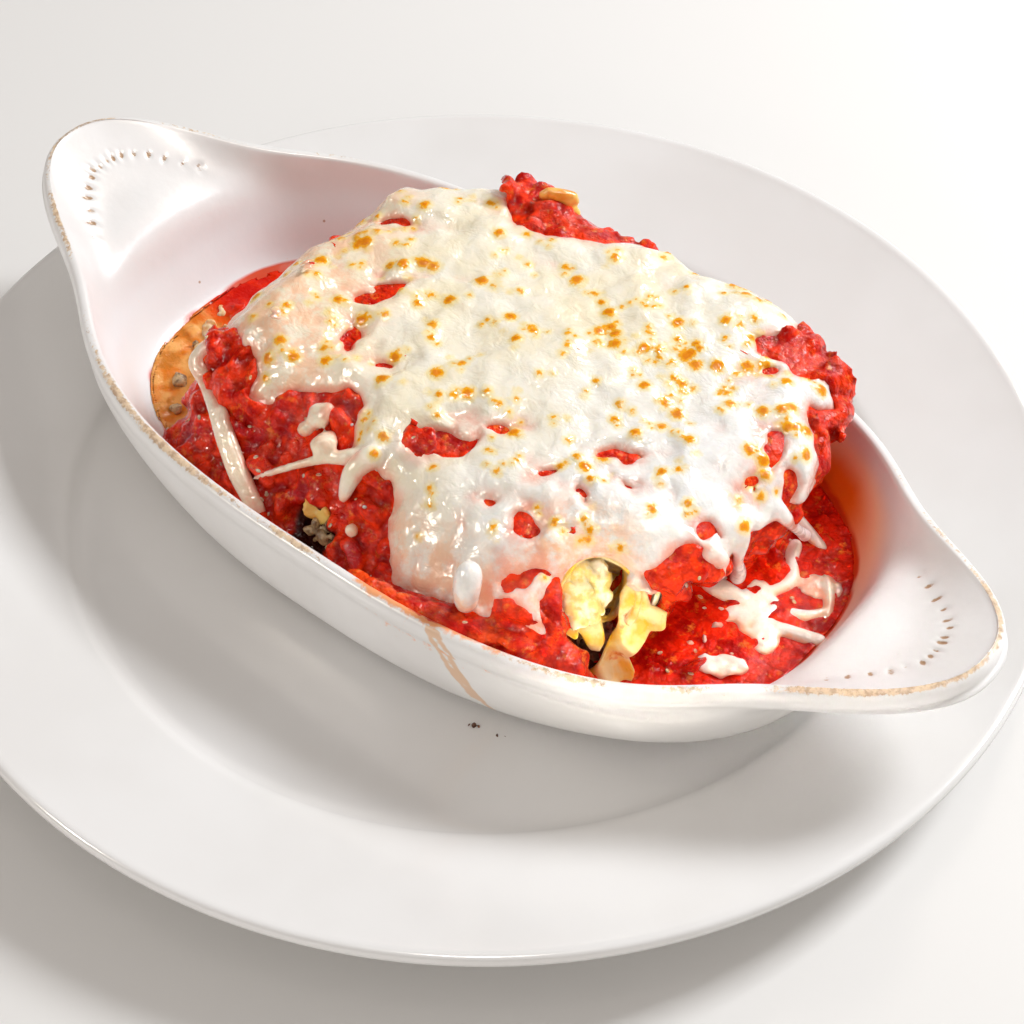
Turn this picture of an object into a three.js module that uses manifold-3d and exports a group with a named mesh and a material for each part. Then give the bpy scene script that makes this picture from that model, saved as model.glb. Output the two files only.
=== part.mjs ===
// A baked lasagna in its oval gratin dish, which stands on a round plate.
// Millimetres, +Z up. The origin is the middle of the plate's foot on the table, and +X runs along the dish.
import * as THREE from "three";
import { mergeVertices } from "three/addons/utils/BufferGeometryUtils.js";
import Module from "manifold-3d";

const wasm = await Module();
wasm.setup();

// ---------- Driving sizes ----------

const GAP = 0.3; // clearance between touching pieces

const PLATE = {
  radius: 152.5,
  rimZ: 22,
  mouthRadius: 112, // where the broad rim turns down into the well
  mouthZ: 11,
  floorRadius: 103,
  floorZ: 8,
  footRadius: 90,
  footWidth: 6,
  footHeight: 3,
  segments: 60,
};

const DISH = {
  centreX: -3.2,
  centreY: 2.3,
  halfLength: 114, // the bowl's mouth, a superellipse
  halfWidth: 65.9,
  squareness: 2.7,
  earReach: 35, // how far each ear stands out of that mouth
  earSpread: 0.221, // radians
  earPower: 2.23,
  rimZ: 40.6,
  earRise: 9.9, // rise of the rim at earRiseAt from the middle
  earRiseAt: 135,
  floorZ: 13.2,
  lip: 3.3, // how far the rolled lip stands out
  spokes: 48,
};

// The lasagna's flat top in the dish's own frame. Its sides fall away from this outline.
const TOP_OUTLINE = [
  [-44, -21],
  [55, -22],
  [70, -6],
  [74, 22],
  [62, 47],
  [-20, 47],
  [-43, 28],
];
const TOP_Z = 60.6; // the tomato sauce's top, under the cheese, in the middle
const TOP_TILT = 0.07; // rise towards the back
const FOOD_BASE_Z = DISH.floorZ + GAP + 0.1;
// How each side falls: the radius of its shoulder, and the slope in degrees below it.
const SIDES = {
  right: { shoulder: 13, slope: 112 },
  back: { shoulder: 13, slope: 88 },
  left: { shoulder: 16, slope: 84 },
  front: { shoulder: 34, slope: 43 },
};
const SAUCE_OVER_TOP = 7; // tomato sauce between the top pasta sheet and the cheese
const SAUCE_ON_SIDES = 4;
const CHEESE_THICKNESS = 2.8;
const LEFT_POOL_Z = 15.6; // levels of the loose sauce at both ends of the dish
const RIGHT_POOL_Z = 21.6;

// The layers, from the bottom up, as shares of the height under the sauce.
const LAYERS = [
  { name: "pasta_sheet_bottom", from: 0, to: 0.075, material: "pasta" },
  { name: "meat_layer", from: 0.075, to: 0.4, material: "meat" },
  { name: "pasta_sheet_middle", from: 0.4, to: 0.475, material: "pasta" },
  { name: "ricotta_layer", from: 0.475, to: 0.925, material: "ricotta" },
  { name: "pasta_sheet_top", from: 0.925, to: 1.02, material: "pasta" },
];

// ---------- Materials ----------

const material = (r, g, b, roughness) =>
  new THREE.MeshStandardMaterial({
    color: new THREE.Color(r, g, b),
    roughness,
    metalness: 0,
  });

const MATERIALS = {
  plate: material(0.83, 0.82, 0.8, 0.2),
  dish: material(0.85, 0.83, 0.79, 0.18),
  sauce: material(0.55, 0.02, 0.01, 0.2),
  cheese: material(0.87, 0.8, 0.62, 0.35),
  pasta: material(0.85, 0.6, 0.2, 0.4),
  ricotta: material(0.85, 0.8, 0.6, 0.6),
  meat: material(0.16, 0.07, 0.03, 0.7),
  tomato: material(0.65, 0.03, 0.01, 0.2),
};

// ---------- Solids ----------

// A closed skin from a first pole, through rings of equal length, to a last pole.
// Rings run anticlockwise seen from above, and the first pole is on the side that faces up.
function skin(firstPole, rings, lastPole) {
  const positions = [];
  const face = (...corners) => corners.forEach((c) => positions.push(c.x, c.y, c.z));
  const count = rings[0].length;
  for (let j = 0; j < count; j++) {
    const k = (j + 1) % count;
    face(firstPole, rings[0][j], rings[0][k]);
    for (let i = 0; i + 1 < rings.length; i++) {
      face(rings[i][j], rings[i + 1][j], rings[i + 1][k]);
      face(rings[i][j], rings[i + 1][k], rings[i][k]);
    }
    face(lastPole, rings.at(-1)[k], rings.at(-1)[j]);
  }
  return fromPositions(positions);
}

// A closed slab over a rectangle, between two height functions.
function slab({ x0, x1, y0, y1, nx, ny }, low, high) {
  const positions = [];
  const corner = (i, j, height) => {
    const x = x0 + ((x1 - x0) * i) / nx;
    const y = y0 + ((y1 - y0) * j) / ny;
    return [x, y, height(x, y)];
  };
  const quad = (a, b, c, d) => positions.push(...a, ...b, ...c, ...a, ...c, ...d);
  for (let i = 0; i < nx; i++)
    for (let j = 0; j < ny; j++) {
      const at = (height) => [
        corner(i, j, height),
        corner(i + 1, j, height),
        corner(i + 1, j + 1, height),
        corner(i, j + 1, height),
      ];
      quad(...at(high));
      const [a, b, c, d] = at(low);
      quad(a, d, c, b);
    }
  const wall = (ia, ja, ib, jb) =>
    quad(corner(ia, ja, low), corner(ib, jb, low), corner(ib, jb, high), corner(ia, ja, high));
  for (let i = 0; i < nx; i++) {
    wall(i, 0, i + 1, 0);
    wall(i + 1, ny, i, ny);
  }
  for (let j = 0; j < ny; j++) {
    wall(nx, j, nx, j + 1);
    wall(0, j + 1, 0, j);
  }
  return fromPositions(positions);
}

function fromPositions(positions) {
  const geometry = new THREE.BufferGeometry();
  geometry.setAttribute("position", new THREE.Float32BufferAttribute(positions, 3));
  return geometry;
}

// A geometry as a solid that can be joined and cut.
function solid(geometry) {
  const bare = geometry.clone();
  bare.deleteAttribute("normal");
  bare.deleteAttribute("uv");
  const merged = mergeVertices(bare, 1e-3);
  return new wasm.Manifold(
    new wasm.Mesh({
      numProp: 3,
      vertProperties: new Float32Array(merged.attributes.position.array),
      triVerts: new Uint32Array(merged.index.array),
    }),
  );
}

// The largest body of a solid, back as a geometry. Slivers that a cut leaves are dropped.
function geometryOf(cut) {
  const body = cut.decompose().sort((a, b) => b.volume() - a.volume())[0];
  const mesh = body.getMesh();
  const geometry = new THREE.BufferGeometry();
  geometry.setAttribute("position", new THREE.BufferAttribute(mesh.vertProperties, 3));
  geometry.setIndex(new THREE.BufferAttribute(mesh.triVerts, 1));
  return geometry;
}

const lerp = THREE.MathUtils.lerp;
const smoothstep = THREE.MathUtils.smoothstep;
const radians = THREE.MathUtils.degToRad;

// ---------- Plate ----------

function plateGeometry() {
  const p = PLATE;
  const profile = [
    [0, p.footHeight],
    [p.footRadius - p.footWidth, p.footHeight],
    [p.footRadius - p.footWidth, 0],
    [p.footRadius, 0],
    [p.footRadius + 1.5, p.footHeight],
    [p.floorRadius + 3, p.footHeight + 1],
    [p.radius - 2.5, p.rimZ - 4.4],
    [p.radius, p.rimZ - 1.4],
    [p.radius - 1, p.rimZ],
    [p.mouthRadius + 1.5, p.mouthZ + 0.4],
    [p.mouthRadius - 1, p.mouthZ - 0.6],
    [p.floorRadius + 2, p.floorZ + 0.5],
    [p.floorRadius - 2, p.floorZ],
    [0, p.floorZ],
  ].map(([r, z]) => new THREE.Vector2(r, z));
  return new THREE.LatheGeometry(profile, p.segments).rotateX(Math.PI / 2);
}

// ---------- Gratin dish ----------

// The angle from the dish's long axis, from 0 at an ear to a quarter turn at the side.
const fromLongAxis = (angle) => Math.atan2(Math.abs(Math.sin(angle)), Math.abs(Math.cos(angle)));

const ear = (angle) => Math.exp(-((fromLongAxis(angle) / DISH.earSpread) ** DISH.earPower));

function bowlRadius(angle, halfLength, halfWidth, n) {
  const along = Math.abs(Math.cos(angle)) / halfLength;
  const across = Math.abs(Math.sin(angle)) / halfWidth;
  return (along ** n + across ** n) ** (-1 / n);
}

const rimHeight = (x) => DISH.rimZ + DISH.earRise * Math.abs(x / DISH.earRiseAt) ** 3;

// Spoke angles, closer together at the ears, where the outline bends most.
const DISH_ANGLES = Array.from({ length: DISH.spokes }, (_, i) => {
  const t = (2 * Math.PI * i) / DISH.spokes;
  return t - 0.35 * Math.sin(2 * t);
});

// One ring of the dish: a superellipse with a share of the ears, at a height that may vary round it.
function dishRing(halfLength, halfWidth, earShare, height, squareness = DISH.squareness) {
  return DISH_ANGLES.map((angle) => {
    const r = bowlRadius(angle, halfLength, halfWidth, squareness) + earShare * DISH.earReach * ear(angle);
    const x = r * Math.cos(angle);
    const z = typeof height === "function" ? height(x, ear(angle)) : height;
    return new THREE.Vector3(x, r * Math.sin(angle), z);
  });
}

// A ring moved outwards square to its own outline, and up.
function offsetRing(ring, out, up) {
  return ring.map((point, i) => {
    const before = ring.at(i - 1);
    const after = ring[(i + 1) % ring.length];
    const tangent = new THREE.Vector2(after.x - before.x, after.y - before.y).normalize();
    return new THREE.Vector3(point.x + tangent.y * out, point.y - tangent.x * out, point.z + up);
  });
}

// The inside of the dish, from the floor to the rim. inset and raise leave a clearance for the food.
function insideRings(inset, raise) {
  const a = DISH.halfLength;
  const b = DISH.halfWidth;
  const mouthZ = (x, share) => DISH.rimZ - 4.8 + 6 * share + raise;
  return [
    dishRing(a * 0.5 - inset, b * 0.42 - inset, 0, DISH.floorZ + raise),
    dishRing(a - 21 - inset, b - 19.5 - inset, 0, DISH.floorZ + raise),
    dishRing(a - 13.5 - inset, b - 12.5 - inset, 0, DISH.floorZ + 1.9 + raise),
    dishRing(a - 9 - inset, b - 8.3 - inset, 0, DISH.floorZ + 5.8 + raise),
    dishRing(a - 4.5 - inset, b - 4.8 - inset, 0.02, 28 + raise),
    dishRing(a - 0.5 - inset, b - 1.9 - inset, 0.1, mouthZ),
    dishRing(a + 0.3 - inset, b - 0.9 - inset, 0.5, (x, share) => lerp(mouthZ(x, share), rimHeight(x), 0.55)),
    dishRing(a - inset, b - inset, 1, (x) => rimHeight(x) + raise),
  ];
}

function dishGeometry() {
  const a = DISH.halfLength;
  const b = DISH.halfWidth;
  const footZ = PLATE.floorZ + GAP;
  const inside = insideRings(0, 0);
  const rim = inside.at(-1);
  const lip = [
    offsetRing(rim, 0.45 * DISH.lip, 1),
    offsetRing(rim, DISH.lip, -0.8),
    offsetRing(rim, DISH.lip, -4.2),
    offsetRing(rim, 0.8 * DISH.lip, -6.2),
  ];
  const outside = [
    dishRing(a + 2.8, b + 2.3, 0.12, (x, share) => DISH.rimZ - 8 + 3 * share),
    dishRing(a - 1, b - 0.3, 0, footZ + 7.7, 2.3),
    dishRing(a - 15, b - 3.2, 0, footZ + 2.5, 2.5),
    dishRing(a - 25, b - 11.5, 0, footZ, 2.5),
  ];
  const topPole = new THREE.Vector3(0, 0, DISH.floorZ);
  const bottomPole = new THREE.Vector3(0, 0, footZ);
  return skin(topPole, [...inside, ...lip, ...outside], bottomPole);
}

// All the room inside the dish, clear of its walls, and on up above its rim.
function cavitySolid() {
  const ceiling = 130;
  const rings = insideRings(0.45, 0.35);
  const top = rings.at(-1).map((p) => new THREE.Vector3(p.x, p.y, ceiling));
  const floorPole = new THREE.Vector3(0, 0, DISH.floorZ + 0.35);
  return solid(skin(new THREE.Vector3(0, 0, ceiling), [top, ...rings.reverse()], floorPole));
}

// ---------- The lasagna's form ----------

// Spokes round the flat top: a point of its outline, and the way out from there.
function topSpokes(perEdge, perCorner) {
  const corners = TOP_OUTLINE.map(([x, y]) => new THREE.Vector2(x, y));
  const outward = corners.map((c, i) => {
    const edge = corners[(i + 1) % corners.length].clone().sub(c).normalize();
    return Math.atan2(-edge.x, edge.y);
  });
  const spokes = [];
  corners.forEach((corner, i) => {
    const before = outward.at(i - 1);
    const turn = (outward[i] - before + 2 * Math.PI) % (2 * Math.PI);
    for (let k = 0; k <= perCorner; k++)
      spokes.push({ from: corner, angle: before + (turn * k) / perCorner });
    const next = corners[(i + 1) % corners.length];
    for (let k = 1; k < perEdge; k++)
      spokes.push({ from: corner.clone().lerp(next, k / perEdge), angle: outward[i] });
  });
  return spokes;
}

// A value of each side, blended for a direction between two sides.
function bySide(angle, value) {
  const c = Math.cos(angle);
  const s = Math.sin(angle);
  return (
    value(c > 0 ? SIDES.right : SIDES.left) * c * c + value(s > 0 ? SIDES.back : SIDES.front) * s * s
  );
}

const topHeight = (x, y) => {
  const swell = 0.9 * Math.sin(0.061 * x + 1.1) * Math.cos(0.07 * y);
  const dimple = 0.5 * Math.sin(0.13 * x - 0.09 * y);
  return TOP_Z + TOP_TILT * y + swell + dimple;
};

// A point of the lasagna's skin: reach millimetres along it from the flat top's edge, and lift above it.
function onSkin({ from, angle }, reach, lift) {
  const radius = bySide(angle, (side) => side.shoulder);
  const slope = radians(bySide(angle, (side) => side.slope));
  const bend = Math.min(reach / radius, slope);
  const beyond = Math.max(0, reach - radius * slope);
  const out = radius * Math.sin(bend) + beyond * Math.cos(slope);
  const drop = radius * (1 - Math.cos(bend)) + beyond * Math.sin(slope);
  const swell = 1.1 * Math.sin(3 * angle + 0.11 * reach) * smoothstep(reach, 4, 24);
  const away = out + (lift + swell) * Math.sin(bend);
  const x = from.x + Math.cos(angle) * away;
  const y = from.y + Math.sin(angle) * away;
  return new THREE.Vector3(x, y, topHeight(x, y) - drop + (lift + swell) * Math.cos(bend));
}

// How far along the skin it is from the top's edge down to the floor of the dish.
function reachToFloor(spoke) {
  const radius = bySide(spoke.angle, (side) => side.shoulder);
  const slope = radians(bySide(spoke.angle, (side) => side.slope));
  const top = topHeight(spoke.from.x, spoke.from.y);
  return radius * slope + (top - radius * (1 - Math.cos(slope)) - FOOD_BASE_Z) / Math.sin(slope);
}

// The whole lasagna as one solid, its skin lifted by a distance that may vary with direction.
// below is how far it goes on straight down past the floor of the dish.
function moundGeometry(spokes, lift, below) {
  const middle = new THREE.Vector2(14, 12);
  const inner = [0.5, 1].map((share) =>
    spokes.map(({ from }) => {
      const p = middle.clone().lerp(from, share);
      return new THREE.Vector3(p.x, p.y, topHeight(p.x, p.y) + lift(Math.PI / 2, 0));
    }),
  );
  const shoulder = (spoke) =>
    bySide(spoke.angle, (side) => side.shoulder * radians(side.slope));
  const outer = [0.5, 1].map((share) =>
    spokes.map((spoke) => onSkin(spoke, share * shoulder(spoke), lift(spoke.angle, share))),
  );
  const lower = [0.5, 1].map((share) =>
    spokes.map((spoke) => {
      const reach = lerp(shoulder(spoke), reachToFloor(spoke), share);
      const point = onSkin(spoke, reach, lift(spoke.angle, 1));
      if (share === 1) point.z = FOOD_BASE_Z;
      return point;
    }),
  );
  const baseZ = FOOD_BASE_Z - below;
  if (below) lower.push(lower[1].map((p) => new THREE.Vector3(p.x, p.y, baseZ)));
  const top = new THREE.Vector3(middle.x, middle.y, topHeight(middle.x, middle.y) + lift(Math.PI / 2, 0));
  const bottom = new THREE.Vector3(middle.x, middle.y, baseZ);
  return skin(top, [...inner, ...outer, ...lower], bottom);
}

const SPOKES = topSpokes(3, 2);
const rightShare = (angle) => Math.max(0, Math.cos(angle)) ** 4;

// How far the stack of layers lies under the sauce's skin. At the right end it comes out to the skin.
function underSauce(angle, share) {
  const covered = lerp(SAUCE_OVER_TOP, SAUCE_ON_SIDES, share);
  return -covered * (1 - share * rightShare(angle));
}

const cavity = cavitySolid();
const mound = solid(moundGeometry(SPOKES, () => 0, 0)).intersect(cavity);
const moundWithGap = solid(moundGeometry(SPOKES, () => GAP, 3));
const stack = solid(moundGeometry(SPOKES, underSauce, 0)).intersect(cavity);
const stackWithGap = solid(
  moundGeometry(
    SPOKES,
    (angle, share) => underSauce(angle, share) + GAP + 1.5 * share * rightShare(angle),
    3,
  ),
);

// ---------- Pasta curl at the front right corner, with ricotta in it and a frill below ----------

const CURL = {
  mouth: new THREE.Vector3(66.7, -36.2, 42.5), // middle of the open end
  heading: radians(-52), // the way that the open end faces
  rise: radians(20), // how far it points up
  radius: 10,
  wall: 2,
  length: 28,
  opening: radians(80), // the part of the circle that is open, at the bottom
};

// Places a shape drawn in the curl's cross-section, which faces out of its mouth.
function curlMatrix() {
  const out = new THREE.Vector3(
    Math.cos(CURL.heading) * Math.cos(CURL.rise),
    Math.sin(CURL.heading) * Math.cos(CURL.rise),
    Math.sin(CURL.rise),
  );
  const side = new THREE.Vector3(0, 0, 1).cross(out).normalize();
  const up = out.clone().cross(side);
  return new THREE.Matrix4().makeBasis(side, up, out).setPosition(CURL.mouth);
}

// An arc of pasta, wavy along its inner edge, extruded back from the mouth.
function curlGeometry() {
  const from = -Math.PI / 2 + CURL.opening / 2;
  const to = 1.5 * Math.PI - CURL.opening / 2;
  const steps = 14;
  const arc = (radius) =>
    Array.from({ length: steps + 1 }, (_, i) => {
      const angle = lerp(from, to, i / steps);
      const wave = radius + 0.5 * Math.sin(5 * angle);
      return new THREE.Vector2(wave * Math.cos(angle), wave * Math.sin(angle));
    });
  const shape = new THREE.Shape([...arc(CURL.radius), ...arc(CURL.radius - CURL.wall).reverse()]);
  const extruded = new THREE.ExtrudeGeometry(shape, { depth: CURL.length, bevelEnabled: false, steps: 1 });
  return extruded.translate(0, 0, -CURL.length).applyMatrix4(curlMatrix());
}

// The ricotta that fills the curl, a lumpy rod that ends just inside the mouth.
function curlFillingGeometry() {
  const radius = CURL.radius - CURL.wall - GAP - 0.7;
  const profile = [
    [0, -CURL.length + 1],
    [0.8, -CURL.length + 1],
    [1, -CURL.length * 0.5],
    [0.92, -3.5],
    [0.45, -1],
    [0, -0.6],
  ].map(([share, along]) => new THREE.Vector2(share * radius, along));
  return new THREE.LatheGeometry(profile, 14).rotateX(Math.PI / 2).applyMatrix4(curlMatrix());
}

// The room that the food about the curl leaves free: round it, and in front of its mouth down to the sauce.
function curlRoom() {
  const shape = new THREE.Shape().absarc(0, 0, CURL.radius + GAP + 0.6, 0, 2 * Math.PI);
  const bore = new THREE.ExtrudeGeometry(shape, {
    depth: CURL.length + 6,
    bevelEnabled: false,
    steps: 1,
    curveSegments: 10,
  });
  const round = solid(bore.translate(0, 0, -CURL.length - 1).applyMatrix4(curlMatrix()));
  const lowest = RIGHT_POOL_Z + 1.1;
  const highest = CURL.mouth.z + 3;
  const corner = new THREE.BoxGeometry(40, 34, highest - lowest)
    .translate(20, 5, 0)
    .rotateZ(CURL.heading)
    .translate(CURL.mouth.x, CURL.mouth.y, (lowest + highest) / 2);
  return round.add(solid(corner));
}

// A ruffled strip of pasta that hangs from the curl to the sauce.
function frillGeometry() {
  const width = 15;
  const height = 14;
  const thickness = 2;
  const across = 14;
  const down = 3;
  const point = (i, j, side) => {
    const u = i / across;
    const v = j / down;
    const ruffle = (0.6 + 2.6 * v) * Math.sin(2.6 * 2 * Math.PI * u);
    const x = (u - 0.5) * width * (1 + 0.15 * v);
    return new THREE.Vector3(x, ruffle + (side ? thickness : 0), -v * height);
  };
  const positions = [];
  const quad = (a, b, c, d) => [a, b, c, a, c, d].forEach((p) => positions.push(p.x, p.y, p.z));
  for (let i = 0; i < across; i++)
    for (let j = 0; j < down; j++) {
      quad(point(i, j, 0), point(i, j + 1, 0), point(i + 1, j + 1, 0), point(i + 1, j, 0));
      quad(point(i, j, 1), point(i + 1, j, 1), point(i + 1, j + 1, 1), point(i, j + 1, 1));
    }
  for (let i = 0; i < across; i++) {
    quad(point(i, 0, 0), point(i + 1, 0, 0), point(i + 1, 0, 1), point(i, 0, 1));
    quad(point(i, down, 0), point(i, down, 1), point(i + 1, down, 1), point(i + 1, down, 0));
  }
  for (let j = 0; j < down; j++) {
    quad(point(0, j, 0), point(0, j, 1), point(0, j + 1, 1), point(0, j + 1, 0));
    quad(point(across, j, 0), point(across, j + 1, 0), point(across, j + 1, 1), point(across, j, 1));
  }
  const frill = fromPositions(positions);
  return frill.rotateZ(CURL.heading + Math.PI / 2).translate(77.5, -34.5, RIGHT_POOL_Z + height + 1.4);
}

// ---------- Food pieces ----------

const FOOD_AREA = { x0: -110, x1: 115, y0: -80, y1: 85, nx: 6, ny: 4 };
const stackHeight = (x, y) => topHeight(x, y) - SAUCE_OVER_TOP;
const layerSurface = (share) => (x, y) =>
  lerp(FOOD_BASE_Z, stackHeight(x, y), share) + 0.7 * share * Math.sin(0.09 * x + 0.05 * y);

function layerGeometry({ from, to }) {
  const low = (x, y) => layerSurface(from)(x, y) + (from ? GAP : -1);
  const band = solid(slab(FOOD_AREA, low, layerSurface(to)));
  return geometryOf(stack.intersect(band).subtract(curlRoom()));
}

// Loose sauce on one side of a plane square to the dish's long axis.
function poolGeometry(x0, x1, level) {
  const surface = (x, y) => level + 0.5 * Math.sin(0.16 * x) * Math.cos(0.2 * y);
  const filled = solid(slab({ ...FOOD_AREA, x0, x1, nx: 4 }, () => 5, surface));
  return geometryOf(cavity.intersect(filled).subtract(moundWithGap).subtract(curlRoom()));
}

// How far the melted cheese runs down the side in each direction.
function cheeseReach({ from, angle }) {
  const s = Math.sin(angle);
  const front = Math.max(0, -s) ** 2;
  const tongue = smoothstep(from.x, -8, 8) * 24 + 3 * Math.sin(0.3 * from.x);
  const rest = bySide(angle, (side) => side.shoulder * 0.95);
  return lerp(rest + 2 * Math.sin(4 * angle), 14 + tongue, front);
}

function cheeseGeometry() {
  const spokes = topSpokes(3, 2);
  const under = -2;
  const ring = (share, lift) =>
    spokes.map((spoke) => onSkin(spoke, cheeseReach(spoke) * share, lift));
  const flat = (share, lift) =>
    spokes.map(({ from }) => {
      const p = new THREE.Vector2(14, 12).lerp(from, share);
      return new THREE.Vector3(p.x, p.y, topHeight(p.x, p.y) + lift);
    });
  const t = CHEESE_THICKNESS + GAP;
  const above = [flat(0.55, t), ring(0, t), ring(0.5, t), ring(0.92, t * 0.8)];
  const below = [ring(1, under), ring(0.5, under), ring(0, under)];
  const pole = (lift) => new THREE.Vector3(14, 12, topHeight(14, 12) + lift);
  const sheet = solid(skin(pole(t), [...above, ...below], pole(under)));
  return geometryOf(sheet.subtract(moundWithGap).intersect(cavity).subtract(curlRoom()));
}

// A lump with soft corners: a squashed ball whose radius varies round it.
function lumpGeometry(halfSizes, uneven) {
  const ball = new THREE.IcosahedronGeometry(1, Math.min(...halfSizes) > 2 ? 2 : 1);
  const position = ball.attributes.position;
  const p = new THREE.Vector3();
  for (let i = 0; i < position.count; i++) {
    p.fromBufferAttribute(position, i);
    const swell = 1 + uneven * Math.sin(3 * p.x + 1) * Math.cos(4 * p.y) + 0.5 * uneven * Math.sin(5 * p.z);
    position.setXYZ(i, p.x * halfSizes[0] * swell, p.y * halfSizes[1] * swell, p.z * halfSizes[2] * swell);
  }
  return ball;
}

// Berry-sized toppings: where each one lies, its half sizes and its turn about the vertical.
const TOPPINGS = [
  {
    name: "tomato_chunk_right",
    material: "tomato",
    at: [77, 50, 50.5],
    half: [8, 12, 8],
    turn: 15,
  },
  {
    name: "tomato_chunk_back",
    material: "tomato",
    at: [-27, 56, 60],
    half: [9, 5, 7],
    turn: 25,
  },
  {
    name: "tomato_chunk_left",
    material: "tomato",
    at: [-54, -41, 46],
    half: [7, 6, 5.5],
    turn: 40,
  },
  {
    name: "cheese_patch_pool",
    material: "cheese",
    at: [92, 7, RIGHT_POOL_Z + 1.9],
    half: [10, 12, 1.3],
    turn: -20,
  },
  {
    name: "cheese_patch_rim",
    material: "cheese",
    at: [92.5, -17.5, RIGHT_POOL_Z + 1.9],
    half: [6, 4, 1.2],
    turn: 44,
  },
];

// A topping keeps clear of all that was placed before it.
function toppingGeometry({ at, half, turn }) {
  const lump = lumpGeometry(half, 0.12).rotateZ(radians(turn)).translate(...at);
  const blocked = [moundWithGap, cheeseRoom, curlRoom()];
  return geometryOf(blocked.reduce((left, other) => left.subtract(other), solid(lump).intersect(cavity)));
}

// The cheese's outside with a clearance, so that what leans on it stays clear.
const cheeseRoom = (() => {
  const spokes = topSpokes(3, 2);
  const lift = CHEESE_THICKNESS + 2.5 * GAP;
  const ring = (share, up) => spokes.map((spoke) => onSkin(spoke, (cheeseReach(spoke) + 0.6) * share, up));
  const pole = (up) => new THREE.Vector3(14, 12, topHeight(14, 12) + up);
  const above = [ring(0, lift), ring(0.5, lift), ring(1, lift)];
  const below = [ring(1, -2), ring(0, -2)];
  return solid(skin(pole(lift), [...above, ...below], pole(-2)));
})();

// ---------- The whole object ----------

const lasagna = new THREE.Group();
const inDish = new THREE.Group();
inDish.position.set(DISH.centreX, DISH.centreY, 0);
lasagna.add(inDish);

function addPiece(parent, name, geometry, look) {
  geometry.computeVertexNormals();
  const mesh = new THREE.Mesh(geometry, MATERIALS[look]);
  mesh.name = name;
  parent.add(mesh);
}

addPiece(lasagna, "plate", plateGeometry(), "plate");
addPiece(inDish, "gratin_dish", dishGeometry(), "dish");
addPiece(inDish, "sauce_pool_left", poolGeometry(-115, -30, LEFT_POOL_Z), "sauce");
addPiece(inDish, "sauce_pool_right", poolGeometry(40, 115, RIGHT_POOL_Z), "sauce");
for (const layer of LAYERS) addPiece(inDish, layer.name, layerGeometry(layer), layer.material);
addPiece(inDish, "tomato_sauce", geometryOf(mound.subtract(stackWithGap).subtract(curlRoom())), "sauce");
addPiece(inDish, "mozzarella", cheeseGeometry(), "cheese");
addPiece(inDish, "pasta_curl", curlGeometry(), "pasta");
addPiece(inDish, "ricotta_in_curl", curlFillingGeometry(), "ricotta");
addPiece(inDish, "pasta_frill", frillGeometry(), "pasta");
for (const topping of TOPPINGS)
  addPiece(inDish, topping.name, toppingGeometry(topping), topping.material);

export default lasagna;
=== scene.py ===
"""A baked lasagna in an oval gratin dish on a round plate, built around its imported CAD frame.

Shapes are worked out in millimetres, the dish and the food in the dish's own frame, and written in metres.
"""
import itertools
import math

import bpy
import numpy as np
from mathutils import Matrix, Vector


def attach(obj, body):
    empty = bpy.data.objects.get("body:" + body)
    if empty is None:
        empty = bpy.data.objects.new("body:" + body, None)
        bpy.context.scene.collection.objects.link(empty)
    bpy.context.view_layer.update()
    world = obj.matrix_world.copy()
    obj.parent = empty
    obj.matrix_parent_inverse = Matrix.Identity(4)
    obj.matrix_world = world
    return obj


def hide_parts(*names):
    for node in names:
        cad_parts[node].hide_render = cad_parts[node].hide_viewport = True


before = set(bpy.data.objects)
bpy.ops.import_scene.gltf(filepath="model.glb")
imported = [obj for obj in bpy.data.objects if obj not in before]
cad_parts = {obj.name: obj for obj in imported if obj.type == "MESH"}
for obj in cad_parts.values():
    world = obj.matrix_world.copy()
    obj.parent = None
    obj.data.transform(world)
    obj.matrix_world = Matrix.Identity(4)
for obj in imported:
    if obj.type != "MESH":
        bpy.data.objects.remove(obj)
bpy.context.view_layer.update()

MM = 0.001
DISH_CENTRE = np.array([-3.2, 2.3, 0.0])
LEFT_POOL_Z, RIGHT_POOL_Z = 15.2, 21.6
FAR = 9.0  # what a distance field holds where there is nothing near
MOST_TRIANGLES = 196000  # for one piece


# ---------- Smooth random fields ----------

LATTICE_PRIMES = (374761393, 668265263, 1440662683, 974634777)
MIXERS = ((13, 1274126177), (15, 2246822519))
WORD = 0xFFFFFFFF


def lattice(*key):
    """A random number from 0 to 1 for each whole-number point and a seed."""
    n = sum(np.asarray(k).astype(np.int64) * prime for k, prime in zip(key, LATTICE_PRIMES)) & WORD
    for shift, factor in MIXERS:
        n = ((n ^ (n >> shift)) * factor) & WORD
    return ((n ^ (n >> 16)) & 0xFFFFFF) / float(0xFFFFFF)


def corner_shares(f):
    """Each corner of a unit cell, with its share at the places f in the cell."""
    for corner in itertools.product((0, 1), repeat=3):
        x, y, z = (f[:, k] if corner[k] else 1 - f[:, k] for k in range(3))
        yield corner, x * y * z


def noise(points, size, seed=0):
    """Smooth noise from -1 to 1 with lumps of about that size, at an (n, 3) array of points."""
    p = points / size
    cell = np.floor(p)
    f = p - cell
    ease = f * f * f * (f * (f * 6 - 15) + 10)
    total = 0
    for corner, share in corner_shares(ease):
        total = total + share * lattice(*(cell + corner).T, seed)
    return total * 2 - 1


def fractal(points, size, octaves=3, seed=0):
    """Noise with finer noise added, each half the size and half the height of the last."""
    total, height = 0, 0
    for k in range(octaves):
        total = total + noise(points, size / 2**k, seed + k) / 2**k
        height += 1 / 2**k
    return total / height


def smoothstep(x, low, high):
    t = np.clip((x - low) / (high - low), 0, 1)
    return t * t * (3 - 2 * t)


def lerp(a, b, t):
    return a + (b - a) * t


# ---------- Meshes ----------


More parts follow.
